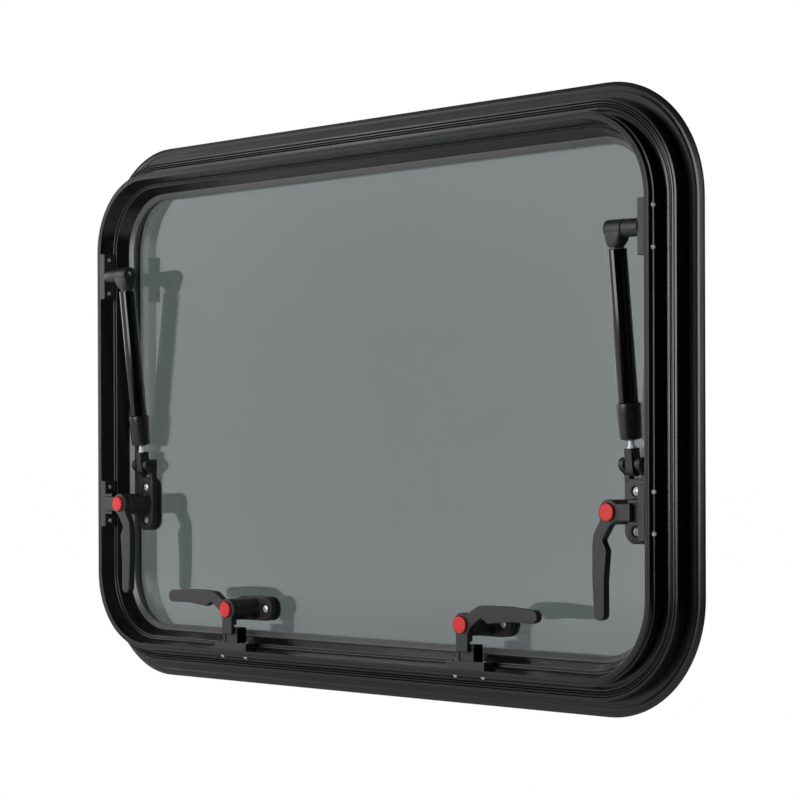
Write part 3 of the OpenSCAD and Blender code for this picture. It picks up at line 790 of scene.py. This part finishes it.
# %% [markdown]
# ## Keepers
# A keeper holds the lever's arm when the window is shut. The real one has a lug on its plate with two
# cheeks, so that the arm can't slip sideways. Three small rounded blocks on the wall plate are enough
# for that, and they meet without a boolean, because closed shapes may overlap inside one piece.

# %% Make the keepers
LUG_FRONT_X, LUG_INTO_PLATE = 16.2, 0.4
LUG_OUTSIDE, LUG_INSIDE = 9.7, 6.9


def keeper(face_x, thick, spot):
    back_x = face_x + LUG_INTO_PLATE
    shapes = [wall_plate(face_x, thick, spot)]
    shapes.append(block((LUG_FRONT_X, -LUG_OUTSIDE, 20.0), (back_x, LUG_OUTSIDE, 30.0), 0.5, spot))
    for low, high in ((-LUG_OUTSIDE, -LUG_INSIDE), (LUG_INSIDE, LUG_OUTSIDE)):
        shapes.append(block((LUG_FRONT_X, low, 20.5), (back_x, high, END_D), 0.5, spot))
    return shapes


for place in PLACES:
    face_x, thick = (SIDE_FACE, SIDE_THICK) if at_side(place) else (BOTTOM_FACE, BOTTOM_THICK)
    shapes = keeper(face_x, thick, latch_spot(place))
    from_shapes("Keeper " + place, shapes, fitting_black, "striker_" + place)
print("keepers", len(PLACES))

# %% [markdown]
# ## The line of a stay
# A stay is a row of pieces on one leaning line, from a pivot high on the reveal to a foot between the
# bracket's ears. Each piece could be turned upright and then tilted, but a tilted object breaks the
# rule that every piece stands at the origin. So the line's own directions are worked out first, and
# the pieces are drawn along them.

# %% Lay out the line of a stay
STAY_TOP, STAY_D = 130.5, 25.7
FOOT_Y, FOOT_D = -50.5, PIN_D
FLIPS = (("left", -1), ("right", 1))
lean = math.atan((STAY_D - FOOT_D) / (STAY_TOP - FOOT_Y))
down = Vector((0, -math.cos(lean), -math.sin(lean)))
indoors = Vector((0, -math.sin(lean), math.cos(lean)))
pivot = Vector((SIDE_X, STAY_TOP, STAY_D))


def side_spot(flip):
    """Window coordinates, mirrored for the left side."""
    return lambda x, y, d: stand(flip * x, y, d)


def stay_plate_spot(flip):
    """The stay plate's own place: x to the wall and y up, both from the pivot."""
    return lambda x, y, d: stand(flip * (SIDE_X + x), STAY_TOP + y, d)


def stay_spot(flip):
    """The stay's own place: u down the stay, v towards the indoors, h along the pivot."""
    return lambda u, v, h: side_spot(flip)(*(pivot + down * u + indoors * v + Vector((h, 0, 0))))


stay_length = math.hypot(STAY_TOP - FOOT_Y, STAY_D - FOOT_D)
print("stay", round(stay_length, 1), "mm long, leans", round(math.degrees(lean), 2), "degrees")

# %% [markdown]
# ## The head of a stay
# The moulded head grips the tube with a round neck, which widens into a squarish block where it meets
# the barrel on the pivot. A boolean of a cylinder and a box would leave a hard seam between the two.
# A loft doesn't: it is a row of rings whose shape changes a little from one to the next.

# %% Loft the head
def loft(rings, spot, steps=56):
    """Each ring is (distance along, low h, high h, half depth, squareness); squareness 2 is an ellipse."""
    points = []
    for u, low, high, half, square in rings:
        for k in range(steps):
            a = math.tau * k / steps
            c, s = (math.copysign(abs(q) ** (2 / square), q) for q in (math.cos(a), math.sin(a)))
            points.append(spot(u, half * s, (low + high) / 2 + (high - low) / 2 * c))
    return points, tube_faces(len(rings), steps)


HEAD_RINGS = [
    (-2.0, -6.6, 9.8, 6.6, 6.0), (0.0, -6.9, 10.1, 7.2, 6.0), (3.0, -6.95, 10.0, 7.35, 5.5),
    (6.0, -6.95, 9.6, 7.25, 5.0), (8.5, -6.9, 8.9, 7.1, 4.2), (10.2, -6.85, 8.2, 6.95, 3.5),
    (11.6, -6.75, 7.5, 6.8, 2.9), (12.7, -6.6, 6.8, 6.6, 2.4), (13.3, -6.4, 6.4, 6.4, 2.1),
    (13.5, -6.0, 6.0, 6.0, 2.0), (14.9, -6.0, 6.0, 6.0, 2.0),
]
print("head rings", len(HEAD_RINGS))

# %% [markdown]
# ## The turned pieces of a stay
# Below the head come an enamelled tube, a dark locking collar, a bright rod and a flat end fitting.
# On a real one these are drawn, turned and moulded pieces. Plain cylinders would have the right size
# and look like a diagram. The profiles below carry the small steps and chamfers instead, in
# millimetres down the stay and out from its line.

# %% Profiles of the turned pieces
BARREL = [(1.2, 0), (1.2, 4.2), (0.35, 4.2), (0, 4.6), (0, 6.7), (0.3, 7.25), (0.9, 7.5), (2.0, 7.5),
          (2.2, 7.2), (2.5, 7.5), (16.8, 7.5), (17.2, 7.3), (17.4, 6.9), (17.4, 0)]
BOSS = [(0, 6.2), (0.4, 6.9), (1.0, 7.1), (11.5, 7.1), (12.5, 6.6), (16.2, 6.6)]
TUBE = [(15.0, 7.0), (15.2, 7.7), (15.7, 8.0), (133.9, 8.0), (134.2, 7.6)]
COLLAR = [(134.3, 8.4), (134.5, 9.3), (135.2, 9.75), (139.0, 9.7), (139.3, 9.4), (139.7, 9.65),
          (161.4, 8.7), (162.3, 8.2), (163.3, 5.2), (163.5, 4.6)]
ROD = [(163.0, 2.5), (167.6, 2.5), (167.8, 3.4), (169.4, 3.4), (169.8, 3.2)]
END_FITTING = [(169.5, -5.25)] + arc(186.35, 0, 5.25, -90, 90, 14) + [(169.5, 5.25)]
BARREL_X, BOSS_X, FITTING_HALF = -7, 10.5, 3.75
print("collar", round(COLLAR[-1][0] - COLLAR[0][0], 1), "mm long")

# %% [markdown]
# ## Both stays
# The two stays mirror each other. A mirror modifier would join them into one piece, but they are two
# pieces on the real window. So one loop makes the six pieces of a stay twice, with the places of the
# left one mirrored.

# %% Make the stays
def along_pivot(profile, x, spot, steps):
    return turned(profile, pivot + Vector((x, 0, 0)), (1, 0, 0), spot, steps)


for name, flip in FLIPS:
    spot, on_stay = side_spot(flip), stay_spot(flip)
    head = [along_pivot(BARREL, BARREL_X, spot, 56), loft(HEAD_RINGS, on_stay)]
    from_shapes("Stay head " + name, head, fitting_black, "stay_head_" + name)
    top = [wall_plate(SIDE_FACE, SIDE_THICK, stay_plate_spot(flip)), along_pivot(BOSS, BOSS_X, spot, 48)]
    from_shapes("Stay plate " + name, top, fitting_black, "stay_plate_" + name)
    tube, collar, rod = (turned(profile, pivot, down, spot, steps)
                         for profile, steps in ((TUBE, 64), (COLLAR, 64), (ROD, 32)))
    from_shapes("Stay tube " + name, [tube], tube_black, "stay_tube_" + name)
    from_shapes("Stay collar " + name, [collar], collar_dark, "stay_collar_" + name)
    from_shapes("Stay rod " + name, [rod], zinc, "stay_rod_" + name)
    fitting = plate(END_FITTING, -FITTING_HALF, FITTING_HALF, 0.5, on_stay, edge_back=0.5)
    from_shapes("Stay foot " + name, [fitting], fitting_black, "stay_foot_" + name)
print("stays", len(FLIPS))

# %% [markdown]
# ## Levers
# The lever is a flat moulding with a round head, a short arm and a grip with a finger bump. It could
# be sculpted, but its outline is its whole character, so that is drawn point by point with a radius
# at each corner. Two layers with a hairline between them give the parting line of the real moulding.
# The front one has a recess for the button, deep enough for the button to be pressed into it.

# %% Draw and mould the levers
LEVER_BACK, LEVER_SPLIT, LEVER_FRONT = 28.0, 31.5, 35.0
FRONT_ARM, REAR_ARM = 22.0, 13.8
BUTTON_RECESS = (0, 0, 7.2, 3.3)
HAIRLINE, LAYER_OVERLAP = 0.12, 0.1


def lever_outline(arm_end):
    head = arc(0, 0, 10.0, 42.0, 212.0, 22)
    grip = [(-15.9, -17.6, 3.0), (-16.8, -26.0, 8.0), (-16.9, -51.0, 20.0), (-15.2, -78.0, 0)]
    tip = arc(-9.9, -78.4, 5.5, 188, 352, 16)
    back = [(-4.5, -53.0, 12.0), (-2.1, -29.5, 2.5), (-6.4, -21.7, 2.0), (1.8, -9.9, 0.6)]
    arm = [(7.42, -6.7, 0.5), (arm_end, -6.7, 0.6), (arm_end, 6.7, 0.6)]
    points = [(x, y, 0) for x, y in head] + grip + [(x, y, 0) for x, y in tip] + back + arm
    return soften([p[:2] for p in points], [p[2] for p in points], 4)


def lever(spot):
    front = plate(lever_outline(FRONT_ARM), LEVER_SPLIT, LEVER_FRONT, 0.8, spot, [BUTTON_RECESS])
    rear_outline = shrink(counter_clockwise(lever_outline(REAR_ARM)), HAIRLINE)
    rear = plate(rear_outline, LEVER_BACK, LEVER_SPLIT + LAYER_OVERLAP, 0.05, spot, edge_back=0.9)
    return [front, rear]


print("lever outline", len(lever_outline(FRONT_ARM)), "points")

# %% [markdown]
# ## Buttons
# Each lever has a red push-button in its head, which frees the lever. It could be a plain disc, but
# the real one is a cap with a soft edge that stands a little proud of the lever. So it is turned from
# a short profile. Lever and button ride on bodies of their own, because both of them move.

# %% Put a button in each lever
CAP = [(0, 6.9), (2.75, 6.9), (3.15, 6.8), (3.45, 6.55), (3.62, 6.1), (3.7, 5.4)]
CAP_D = 34.0

for place in PLACES:
    spot = latch_spot(place)
    from_shapes("Lever " + place, lever(spot), fitting_black, "lever_" + place, "lever_" + place)
    cap = turned(CAP, (0, 0, CAP_D), (0, 0, 1), spot, 56)
    from_shapes("Button " + place, [cap], button_red, "button_" + place, "button_" + place)
print("levers and buttons", len(PLACES), "each")

# %% [markdown]
# ## One head for every screw
# Twenty-odd screws are the same small head again and again, which is what instancing is for. Copying
# a finished screw by hand would leave all of them at the same angle. The tree builds one domed head,
# cuts a cross into it and sets it on every point of a mesh, along the point's own direction and
# turned about it by chance, with a fixed seed, as a fitter leaves them.

# %% A domed head and its cross
CROSS_SHARE = 0.62


def domed_head(tree, given):
    """A short cylinder whose top falls off towards its rim."""
    head = add_node(tree, "GeometryNodeMeshCylinder", {
        "Vertices": 24, "Fill Segments": 4,
        "Radius": maths(tree, "DIVIDE", given["Head width"], 2), "Depth": given["Head height"]})
    position = add_node(tree, "GeometryNodeInputPosition")
    x, y, z = add_node(tree, "ShaderNodeSeparateXYZ", {0: position.outputs[0]}).outputs
    square = maths(tree, "ADD", maths(tree, "MULTIPLY", x, x), maths(tree, "MULTIPLY", y, y))
    fall = maths(tree, "MULTIPLY", maths(tree, "MULTIPLY", square, given["Dome"]), -1)
    drop = add_node(tree, "ShaderNodeCombineXYZ", {"Z": fall})
    dome = add_node(tree, "GeometryNodeSetPosition", {
        "Geometry": head.outputs["Mesh"], "Selection": maths(tree, "GREATER_THAN", z, 0),
        "Offset": drop.outputs[0]})
    return dome.outputs["Geometry"]


def cross_cutter(tree, given):
    """Two crossed bars that reach from above the head to the depth of the slot."""
    long = maths(tree, "MULTIPLY", given["Head width"], CROSS_SHARE)
    both = add_node(tree, "GeometryNodeJoinGeometry")
    for lengthwise, across in (("X", "Y"), ("Y", "X")):
        size = add_node(tree, "ShaderNodeCombineXYZ", {
            lengthwise: long, across: given["Slot width"],
            "Z": maths(tree, "MULTIPLY", given["Slot depth"], 2)})
        bar = add_node(tree, "GeometryNodeMeshCube", {"Size": size.outputs[0]})
        top = add_node(tree, "ShaderNodeCombineXYZ", {
            "Z": maths(tree, "DIVIDE", given["Head height"], 2)})
        raised = add_node(tree, "GeometryNodeTransform", {
            "Geometry": bar.outputs["Mesh"], "Translation": top.outputs[0]})
        fill(tree, both, {0: raised.outputs["Geometry"]})
    return both.outputs[0]


print("the cross takes", CROSS_SHARE, "of the head's width")

# %% [markdown]
# ## Setting the heads
# The places come as a mesh of loose points with a direction stored on each. Object by object we would
# need twenty-odd rotations worked out by hand. The tree reads the stored direction instead, lines
# each head up with it, and adds the turn by chance.

# %% The tree that sets screws
QUARTER_TURN, SEED = 1.57, 7


def facing(tree):
    """Lines each head up with its spot's axis and turns it about that by up to a quarter turn."""
    axis = add_node(tree, "GeometryNodeInputNamedAttribute", {"Name": "axis"}, data_type="FLOAT_VECTOR")
    align = add_node(tree, "FunctionNodeAlignRotationToVector", {
        "Vector": axis.outputs["Attribute"]}, axis="Z")
    spin = add_node(tree, "FunctionNodeRandomValue", {
        "Seed": SEED, 2: 0.0, 3: QUARTER_TURN}, data_type="FLOAT")
    turn = add_node(tree, "FunctionNodeAxisAngleToRotation", {
        "Axis": (0, 0, 1), "Angle": spin.outputs[1]})
    rotate = add_node(tree, "FunctionNodeRotateRotation", {
        0: align.outputs[0], 1: turn.outputs[0]}, rotation_space="LOCAL")
    return rotate.outputs[0]


def screw_tree():
    tree, given = new_rule("Set screws", [
        ("Spots", "Geometry"), ("Head width", "Float", 0.0054), ("Head height", "Float", 0.0012),
        ("Dome", "Float", 80.0), ("Slot width", "Float", 0.0011), ("Slot depth", "Float", 0.0010)])
    cut = add_node(tree, "GeometryNodeMeshBoolean", {
        "Mesh 1": domed_head(tree, given), "Mesh 2": cross_cutter(tree, given)}, operation="DIFFERENCE")
    points = add_node(tree, "GeometryNodeMeshToPoints", {"Mesh": given["Spots"]})
    place = add_node(tree, "GeometryNodeInstanceOnPoints", {
        "Points": points.outputs["Points"], "Instance": cut.outputs["Mesh"], "Rotation": facing(tree)})
    return end_rule(tree, place.outputs["Instances"], given["Finish"])


screws = screw_tree()


def screw_mesh(spots, values):
    """Spots are pairs of a place and a direction, both in metres."""
    mesh = bpy.data.meshes.new("Screw spots")
    mesh.from_pydata([p for p, direction in spots], [], [])
    axis = mesh.attributes.new("axis", "FLOAT_VECTOR", "POINT")
    for i, (p, direction) in enumerate(spots):
        axis.data[i].vector = direction
    return made_by(screws, mesh, {"Finish": zinc, **values})


print("nodes in the screws' tree", len(screws.nodes))

# %% [markdown]
# ## Screws in the brackets
# Two bright screws sit in the sunk holes of each bracket. They could be as low as their holes are
# deep, but then the holes' walls shade them. On the real window they fill their holes nearly to the
# top and catch the light, so these stand just under the plate's front.

# %% Set the bracket screws
BRACKET_SCREW_D = 2.1
BRACKET_SCREW = {"Head width": 0.0066, "Head height": 0.0022, "Dome": 110.0,
                 "Slot width": 0.0010, "Slot depth": 0.0014}


def way(spot, start, end):
    return (spot(*end) - spot(*start)).normalized()


front_spots = []
for place in PLACES:
    spot = latch_spot(place)
    for y in (SCREW_HALF, -SCREW_HALF):
        front_spots.append((spot(0, y, BRACKET_SCREW_D), way(spot, (0, y, 0), (0, y, 1))))
keep("Bracket screws", screw_mesh(front_spots, BRACKET_SCREW), zinc, "bracket_screws")
print("bracket screws", len(front_spots))

# %% [markdown]
# ## Bolts and pins of the stays
# A bolt holds each stay's head on its pivot, and a pin holds its foot between the ears. The bolt's
# head is one more domed head, so the same tree sets it. A pin has no head and is a turned bar with
# small roundings, which takes one line and no tree.

# %% Set the bolts and pins
BOLT_X = -6.4
PIN_LENGTH, PIN_R = 22.0, 2.0
bolt_spots = []
pins = []
for name, flip in FLIPS:
    side = side_spot(flip)
    bolt_spots.append((side(*(pivot + Vector((BOLT_X, 0, 0)))), way(side, (1, 0, 0), (0, 0, 0))))
    pin_start = (SIDE_X - PIN_LENGTH / 2, FOOT_Y, FOOT_D)
    pins.append(turned(rounded_ends(PIN_LENGTH, PIN_R, 0.3), pin_start, (1, 0, 0), side, 28))
keep("Stay bolts", screw_mesh(bolt_spots, {"Head width": 0.0062}), zinc, "stay_bolts")
from_shapes("Stay pins", pins, zinc, "stay_pins")
print("bolts", len(bolt_spots), "pins", len(pins))

# %% [markdown]
# ## Wall screws and their tips
# Each wall plate is held by two screws, whose tips come out on the frame's outside as small bright
# dots. A whole screw would be hidden inside the frame for most of its length. So only what shows is
# made: a head with a cross in the plate, and a rounded tip outside, where the slot is too small to be
# seen. Both are one piece, as in the solids.

# %% Set the wall screws and their tips
HEAD_PROUD, TIP_D = 0.7, 25.8
WALL_HEAD = {"Head width": 0.0058, "Head height": 0.0018, "Slot width": 0.0014, "Slot depth": 0.0014}
WALL_TIP = {"Head width": 0.0052, "Head height": 0.0040, "Dome": 460.0,
            "Slot width": 0.0002, "Slot depth": 0.00005}
plate_places = [(stay_plate_spot(flip), SIDE_FACE, SIDE_OUTSIDE) for name, flip in FLIPS]
for place in PLACES:
    face_x, outside = (SIDE_FACE, SIDE_OUTSIDE) if at_side(place) else (BOTTOM_FACE, BOTTOM_OUTSIDE)
    plate_places.append((latch_spot(place), face_x, outside))
wall_spots, tip_spots = [], []
for spot, face_x, outside in plate_places:
    for y in (WALL_SCREW_Y, -WALL_SCREW_Y):
        out_of_wall, into_wall = way(spot, (1, y, 0), (0, y, 0)), way(spot, (0, y, 0), (1, y, 0))
        wall_spots.append((spot(face_x + HEAD_PROUD, y, WALL_SCREW_D), out_of_wall))
        tip_spots.append((spot(outside, y, TIP_D), into_wall))
bm = bmesh.new()
bm.from_mesh(screw_mesh(wall_spots, WALL_HEAD))
bm.from_mesh(screw_mesh(tip_spots, WALL_TIP))
wall_screws = bpy.data.meshes.new("Wall screws")
bm.to_mesh(wall_screws)
bm.free()
keep("Wall screws", wall_screws, zinc, "plate_screws")
print("wall screws", len(wall_spots), "tips", len(tip_spots))

# %% [markdown]
# ## The hinge on the outside
# The window hangs from a long extruded rail above the pane, with a cover strip and a cap at each end.
# It shows only from behind and from above, and it could be left as the plain solids. But views from
# there show it all the same, so its sections are drawn across and run along x like an extrusion.

# %% Extrude the hinge
RAIL_HALF, CAP_LENGTH = 260, 9
RAIL_ROUND_Y, RAIL_ROUND_D = 235.5, -11.5


def along_x(section, low, high, edge):
    """Section is (distance down from the flange's top, depth outdoors)."""
    outline = [(FLANGE_H / 2 - i, -o) for i, o in section]
    return plate(outline, low, high, edge, lambda u, v, h: stand(h, u, v), edge_back=edge)


flat = soften([(9.5, 4.5), (19.5, 4.5), (19.5, 6.5), (9.5, 6.5)], 0.5, 3)
web = [(13.5, 4.6), (15.5, 4.6), (15.5, 11.5), (13.5, 11.5)]
cover = soften([(8, 11.5), (10, 11.5), (10, 21.8), (28, 21.8), (28, 23.8), (8, 23.8)],
               [0.5, 0.5, 0.5, 0.6, 0.6, 1.5], 4)
end_cap = soften([(8, 4.5), (20, 4.5), (20, 23.8), (8, 23.8)], [0.5, 1.0, 2.0, 3.0], 5)
round_start = (-RAIL_HALF, RAIL_ROUND_Y, RAIL_ROUND_D)
rail = [along_x(flat, -RAIL_HALF, RAIL_HALF, 0.3), along_x(web, -RAIL_HALF, RAIL_HALF, 0.2),
        turned(rounded_ends(2 * RAIL_HALF, 4.0, 0.4), round_start, (1, 0, 0), stand, 32)]
cap_starts = (-RAIL_HALF - CAP_LENGTH, RAIL_HALF)
caps = [along_x(end_cap, low, low + CAP_LENGTH, 1.0) for low in cap_starts]
from_shapes("Hinge rail", rail, frame_black, "hinge_rail")
from_shapes("Hinge strip", [along_x(cover, -RAIL_HALF, RAIL_HALF, 0.2)], frame_black, "hinge_strip")
from_shapes("Hinge end caps", caps, collar_dark, "hinge_end_caps")
print("rail shapes", len(rail), "caps", len(caps))

# %% [markdown]
# ## The room
# A product photograph of a black frame and a mirror-like pane is really a photograph of the room:
# what the black plastic shows is where the white paper is. Real paper and lamps could be built all
# round the part, but each would also shade it. So the floor and the world answer each kind of ray in
# its own way. They are plain white for the camera and through the pane, bright to the left and in
# front for reflections, and dim behind and to the right.

# %% Parts of the room's light
MIRROR_WAY = (-0.73, -0.68, 0.0)
PATCH_WAY = (-0.732, -0.681, 0.014)
PATCH_EDGE, PATCH_MIDDLE, PATCH_DIMMED = 0.9905, 1.0005, 0.70


def times(tree, a, b):
    return maths(tree, "MULTIPLY", a, b, clamp=True)


def plus(tree, a, b):
    return maths(tree, "ADD", a, b, clamp=True)


def brighter(tree, a, b):
    return maths(tree, "MAXIMUM", a, b, clamp=True)


def dot_product(tree, a, b):
    return add_node(tree, "ShaderNodeVectorMath", {0: a, 1: b}, operation="DOT_PRODUCT").outputs["Value"]


def side_light(tree, position, direction, low, high):
    """Zero on one side of the room and one on the other."""
    return ramp(tree, dot_product(tree, position, direction), low, high)


def dim_patch(tree, direction):
    """A soft dim patch in the white room, which the middle of the pane mirrors."""
    unit = add_node(tree, "ShaderNodeVectorMath", {0: direction}, operation="NORMALIZE").outputs[0]
    closeness = dot_product(tree, unit, PATCH_WAY)
    return ramp(tree, closeness, PATCH_EDGE, PATCH_MIDDLE, 1.0, PATCH_DIMMED, "SMOOTHSTEP")


def seen_directly(tree, ray):
    return plus(tree, ray.outputs["Is Camera Ray"], ray.outputs["Is Transmission Ray"])


print("the patch keeps", PATCH_DIMMED, "of the white")

# %% [markdown]
# ## The white floor
# The part stands on plain paper that fades into the background. A grey floor would show a horizon,
# and a glowing one would lose the shadow at the frame's foot. So the paper glows almost fully for the
# camera, keeps a trace of real shading, and in reflections glows as painted light, bright on one side
# and dim on the other. The dim patch is laid out from the place where the pane mirrors the camera.

# %% Lay the floor
FLOOR_HALF = 30
CAMERA_IN_THE_PANE = (1.556, 1.448, 0.193)
CORNERS = ((-1, -1), (1, -1), (1, 1), (-1, 1))

floor_z = solid_box[0][2]
floor_mesh = bpy.data.meshes.new("Floor")
floor_corners = [(x * FLOOR_HALF, y * FLOOR_HALF, floor_z) for x, y in CORNERS]
floor_mesh.from_pydata(floor_corners, [], [(0, 1, 2, 3)])
floor = bpy.data.objects.new("Floor", floor_mesh)
bpy.context.scene.collection.objects.link(floor)

paper, tree, shader, place = new_finish("White paper floor")
fill(tree, shader, {"Base Color": (0.82, 0.82, 0.82, 1), "Roughness": 0.9})
ray = add_node(tree, "ShaderNodeLightPath")
seen = seen_directly(tree, ray)
# painted light: in reflections the floor glows, bright on one side, dim on the other and in a patch
mirrored = side_light(tree, place, (-0.9, 0.43, 0.0), -0.65, -0.35)
far = side_light(tree, place, MIRROR_WAY, 0.3, 1.6)
mirrored = times(tree, mirrored, plus(tree, times(tree, far, 0.45), 0.55))
from_behind = add_node(tree, "ShaderNodeVectorMath", {
    0: place, 1: CAMERA_IN_THE_PANE}, operation="SUBTRACT")
mirrored = times(tree, mirrored, dim_patch(tree, from_behind.outputs[0]))
glow = add_node(tree, "ShaderNodeEmission", {"Color": brighter(tree, seen, mirrored), "Strength": 1.0})
share = plus(tree, times(tree, seen, 0.994), ray.outputs["Is Glossy Ray"])
mix = add_node(tree, "ShaderNodeMixShader", {
    0: share, 1: shader.outputs["BSDF"], 2: glow.outputs["Emission"]})
fill(tree, tree.nodes["Material Output"], {"Surface": mix.outputs["Shader"]})
floor_mesh.materials.append(paper)
print("floor at", round(floor_z, 4))

# %% [markdown]
# ## The world
# Above the floor the room goes on in the same way. A picture of a studio could light it, but then the
# light couldn't be set part by part. The world uses the same pieces as the floor: white for the
# camera, bright on the side that the pane and the levers mirror, a little darker overhead, and a low
# soft light for everything else.

# %% Light the world
world = bpy.data.worlds.new("Room")
bpy.context.scene.world = world
world.use_nodes = True
tree = world.node_tree
ray = add_node(tree, "ShaderNodeLightPath")
direction = add_node(tree, "ShaderNodeTexCoord").outputs["Generated"]
toward = side_light(tree, direction, MIRROR_WAY, 0.70, 0.82)
mirrored = times(tree, ray.outputs["Is Glossy Ray"], toward)
mirrored = times(tree, mirrored, dim_patch(tree, direction))
low_down = side_light(tree, direction, (0.0, 0.0, -1.0), -0.22, -0.12)
mirrored = times(tree, mirrored, plus(tree, times(tree, low_down, 0.5), 0.5))
soft = plus(tree, times(tree, toward, 0.35), 0.03)
light = brighter(tree, brighter(tree, seen_directly(tree, ray), mirrored), soft)
fill(tree, tree.nodes["Background"], {"Color": light, "Strength": 1.0})
print("nodes in the world", len(tree.nodes))

# %% [markdown]
# ## Lamps
# Four softboxes shape the black plastic: one in front, one high at the left, one at the left side and
# one behind for the views from outdoors. Point lamps would leave hard spots on the glossy tubes. The
# boxes are hidden from rays that pass through the pane, because from behind they would show in it as
# hard white rectangles.

# %% Place the lamps
AIM = Vector((0, 0, 0.24))


def lamp(name, place, size, power):
    light = bpy.data.lights.new(name, "AREA")
    light.shape = "RECTANGLE"
    light.size, light.size_y = size
    light.energy = power
    holder = bpy.data.objects.new(name, light)
    holder.location = place
    holder.rotation_euler = (AIM - Vector(place)).to_track_quat("-Z", "Y").to_euler()
    holder.visible_transmission = False
    bpy.context.scene.collection.objects.link(holder)


lamp("Front softbox", (-0.02, -1.4, 0.48), (0.80, 0.75), 11.0)
lamp("Key lamp", (-2.2, -1.75, 1.75), (0.8, 0.8), 5.0)
lamp("Side softbox", (-2.4, -0.8, 0.6), (0.85, 0.9), 8.0)
lamp("Back softbox", (-1.1, 1.5, 0.8), (0.9, 0.9), 6.0)
print("lamps", len(bpy.data.lights))

# %% [markdown]
# ## The camera
# The camera stands where the photograph was taken from: low, far to the right, with a long lens. It
# could be aimed at the middle of the window, but then upright edges would lean. The shift moves the
# picture up and down without tilting the camera, so they stay upright.

# %% Set the camera
camera = bpy.data.cameras.new("Camera")
camera.lens = 110.088
camera.sensor_width = 36
camera.shift_x = 0.00142
camera.shift_y = 0.09343
holder = bpy.data.objects.new("Camera", camera)
holder.location = (1.5563943, -1.4480286, 0.1933557)
holder.rotation_euler = [math.radians(a) for a in (89.691998, 0.196997, 46.320941)]
bpy.context.scene.collection.objects.link(holder)
bpy.context.scene.camera = holder
bpy.context.scene.view_settings.view_transform = "Standard"
print("camera at", tuple(round(c, 3) for c in holder.location), "with a lens of", camera.lens)
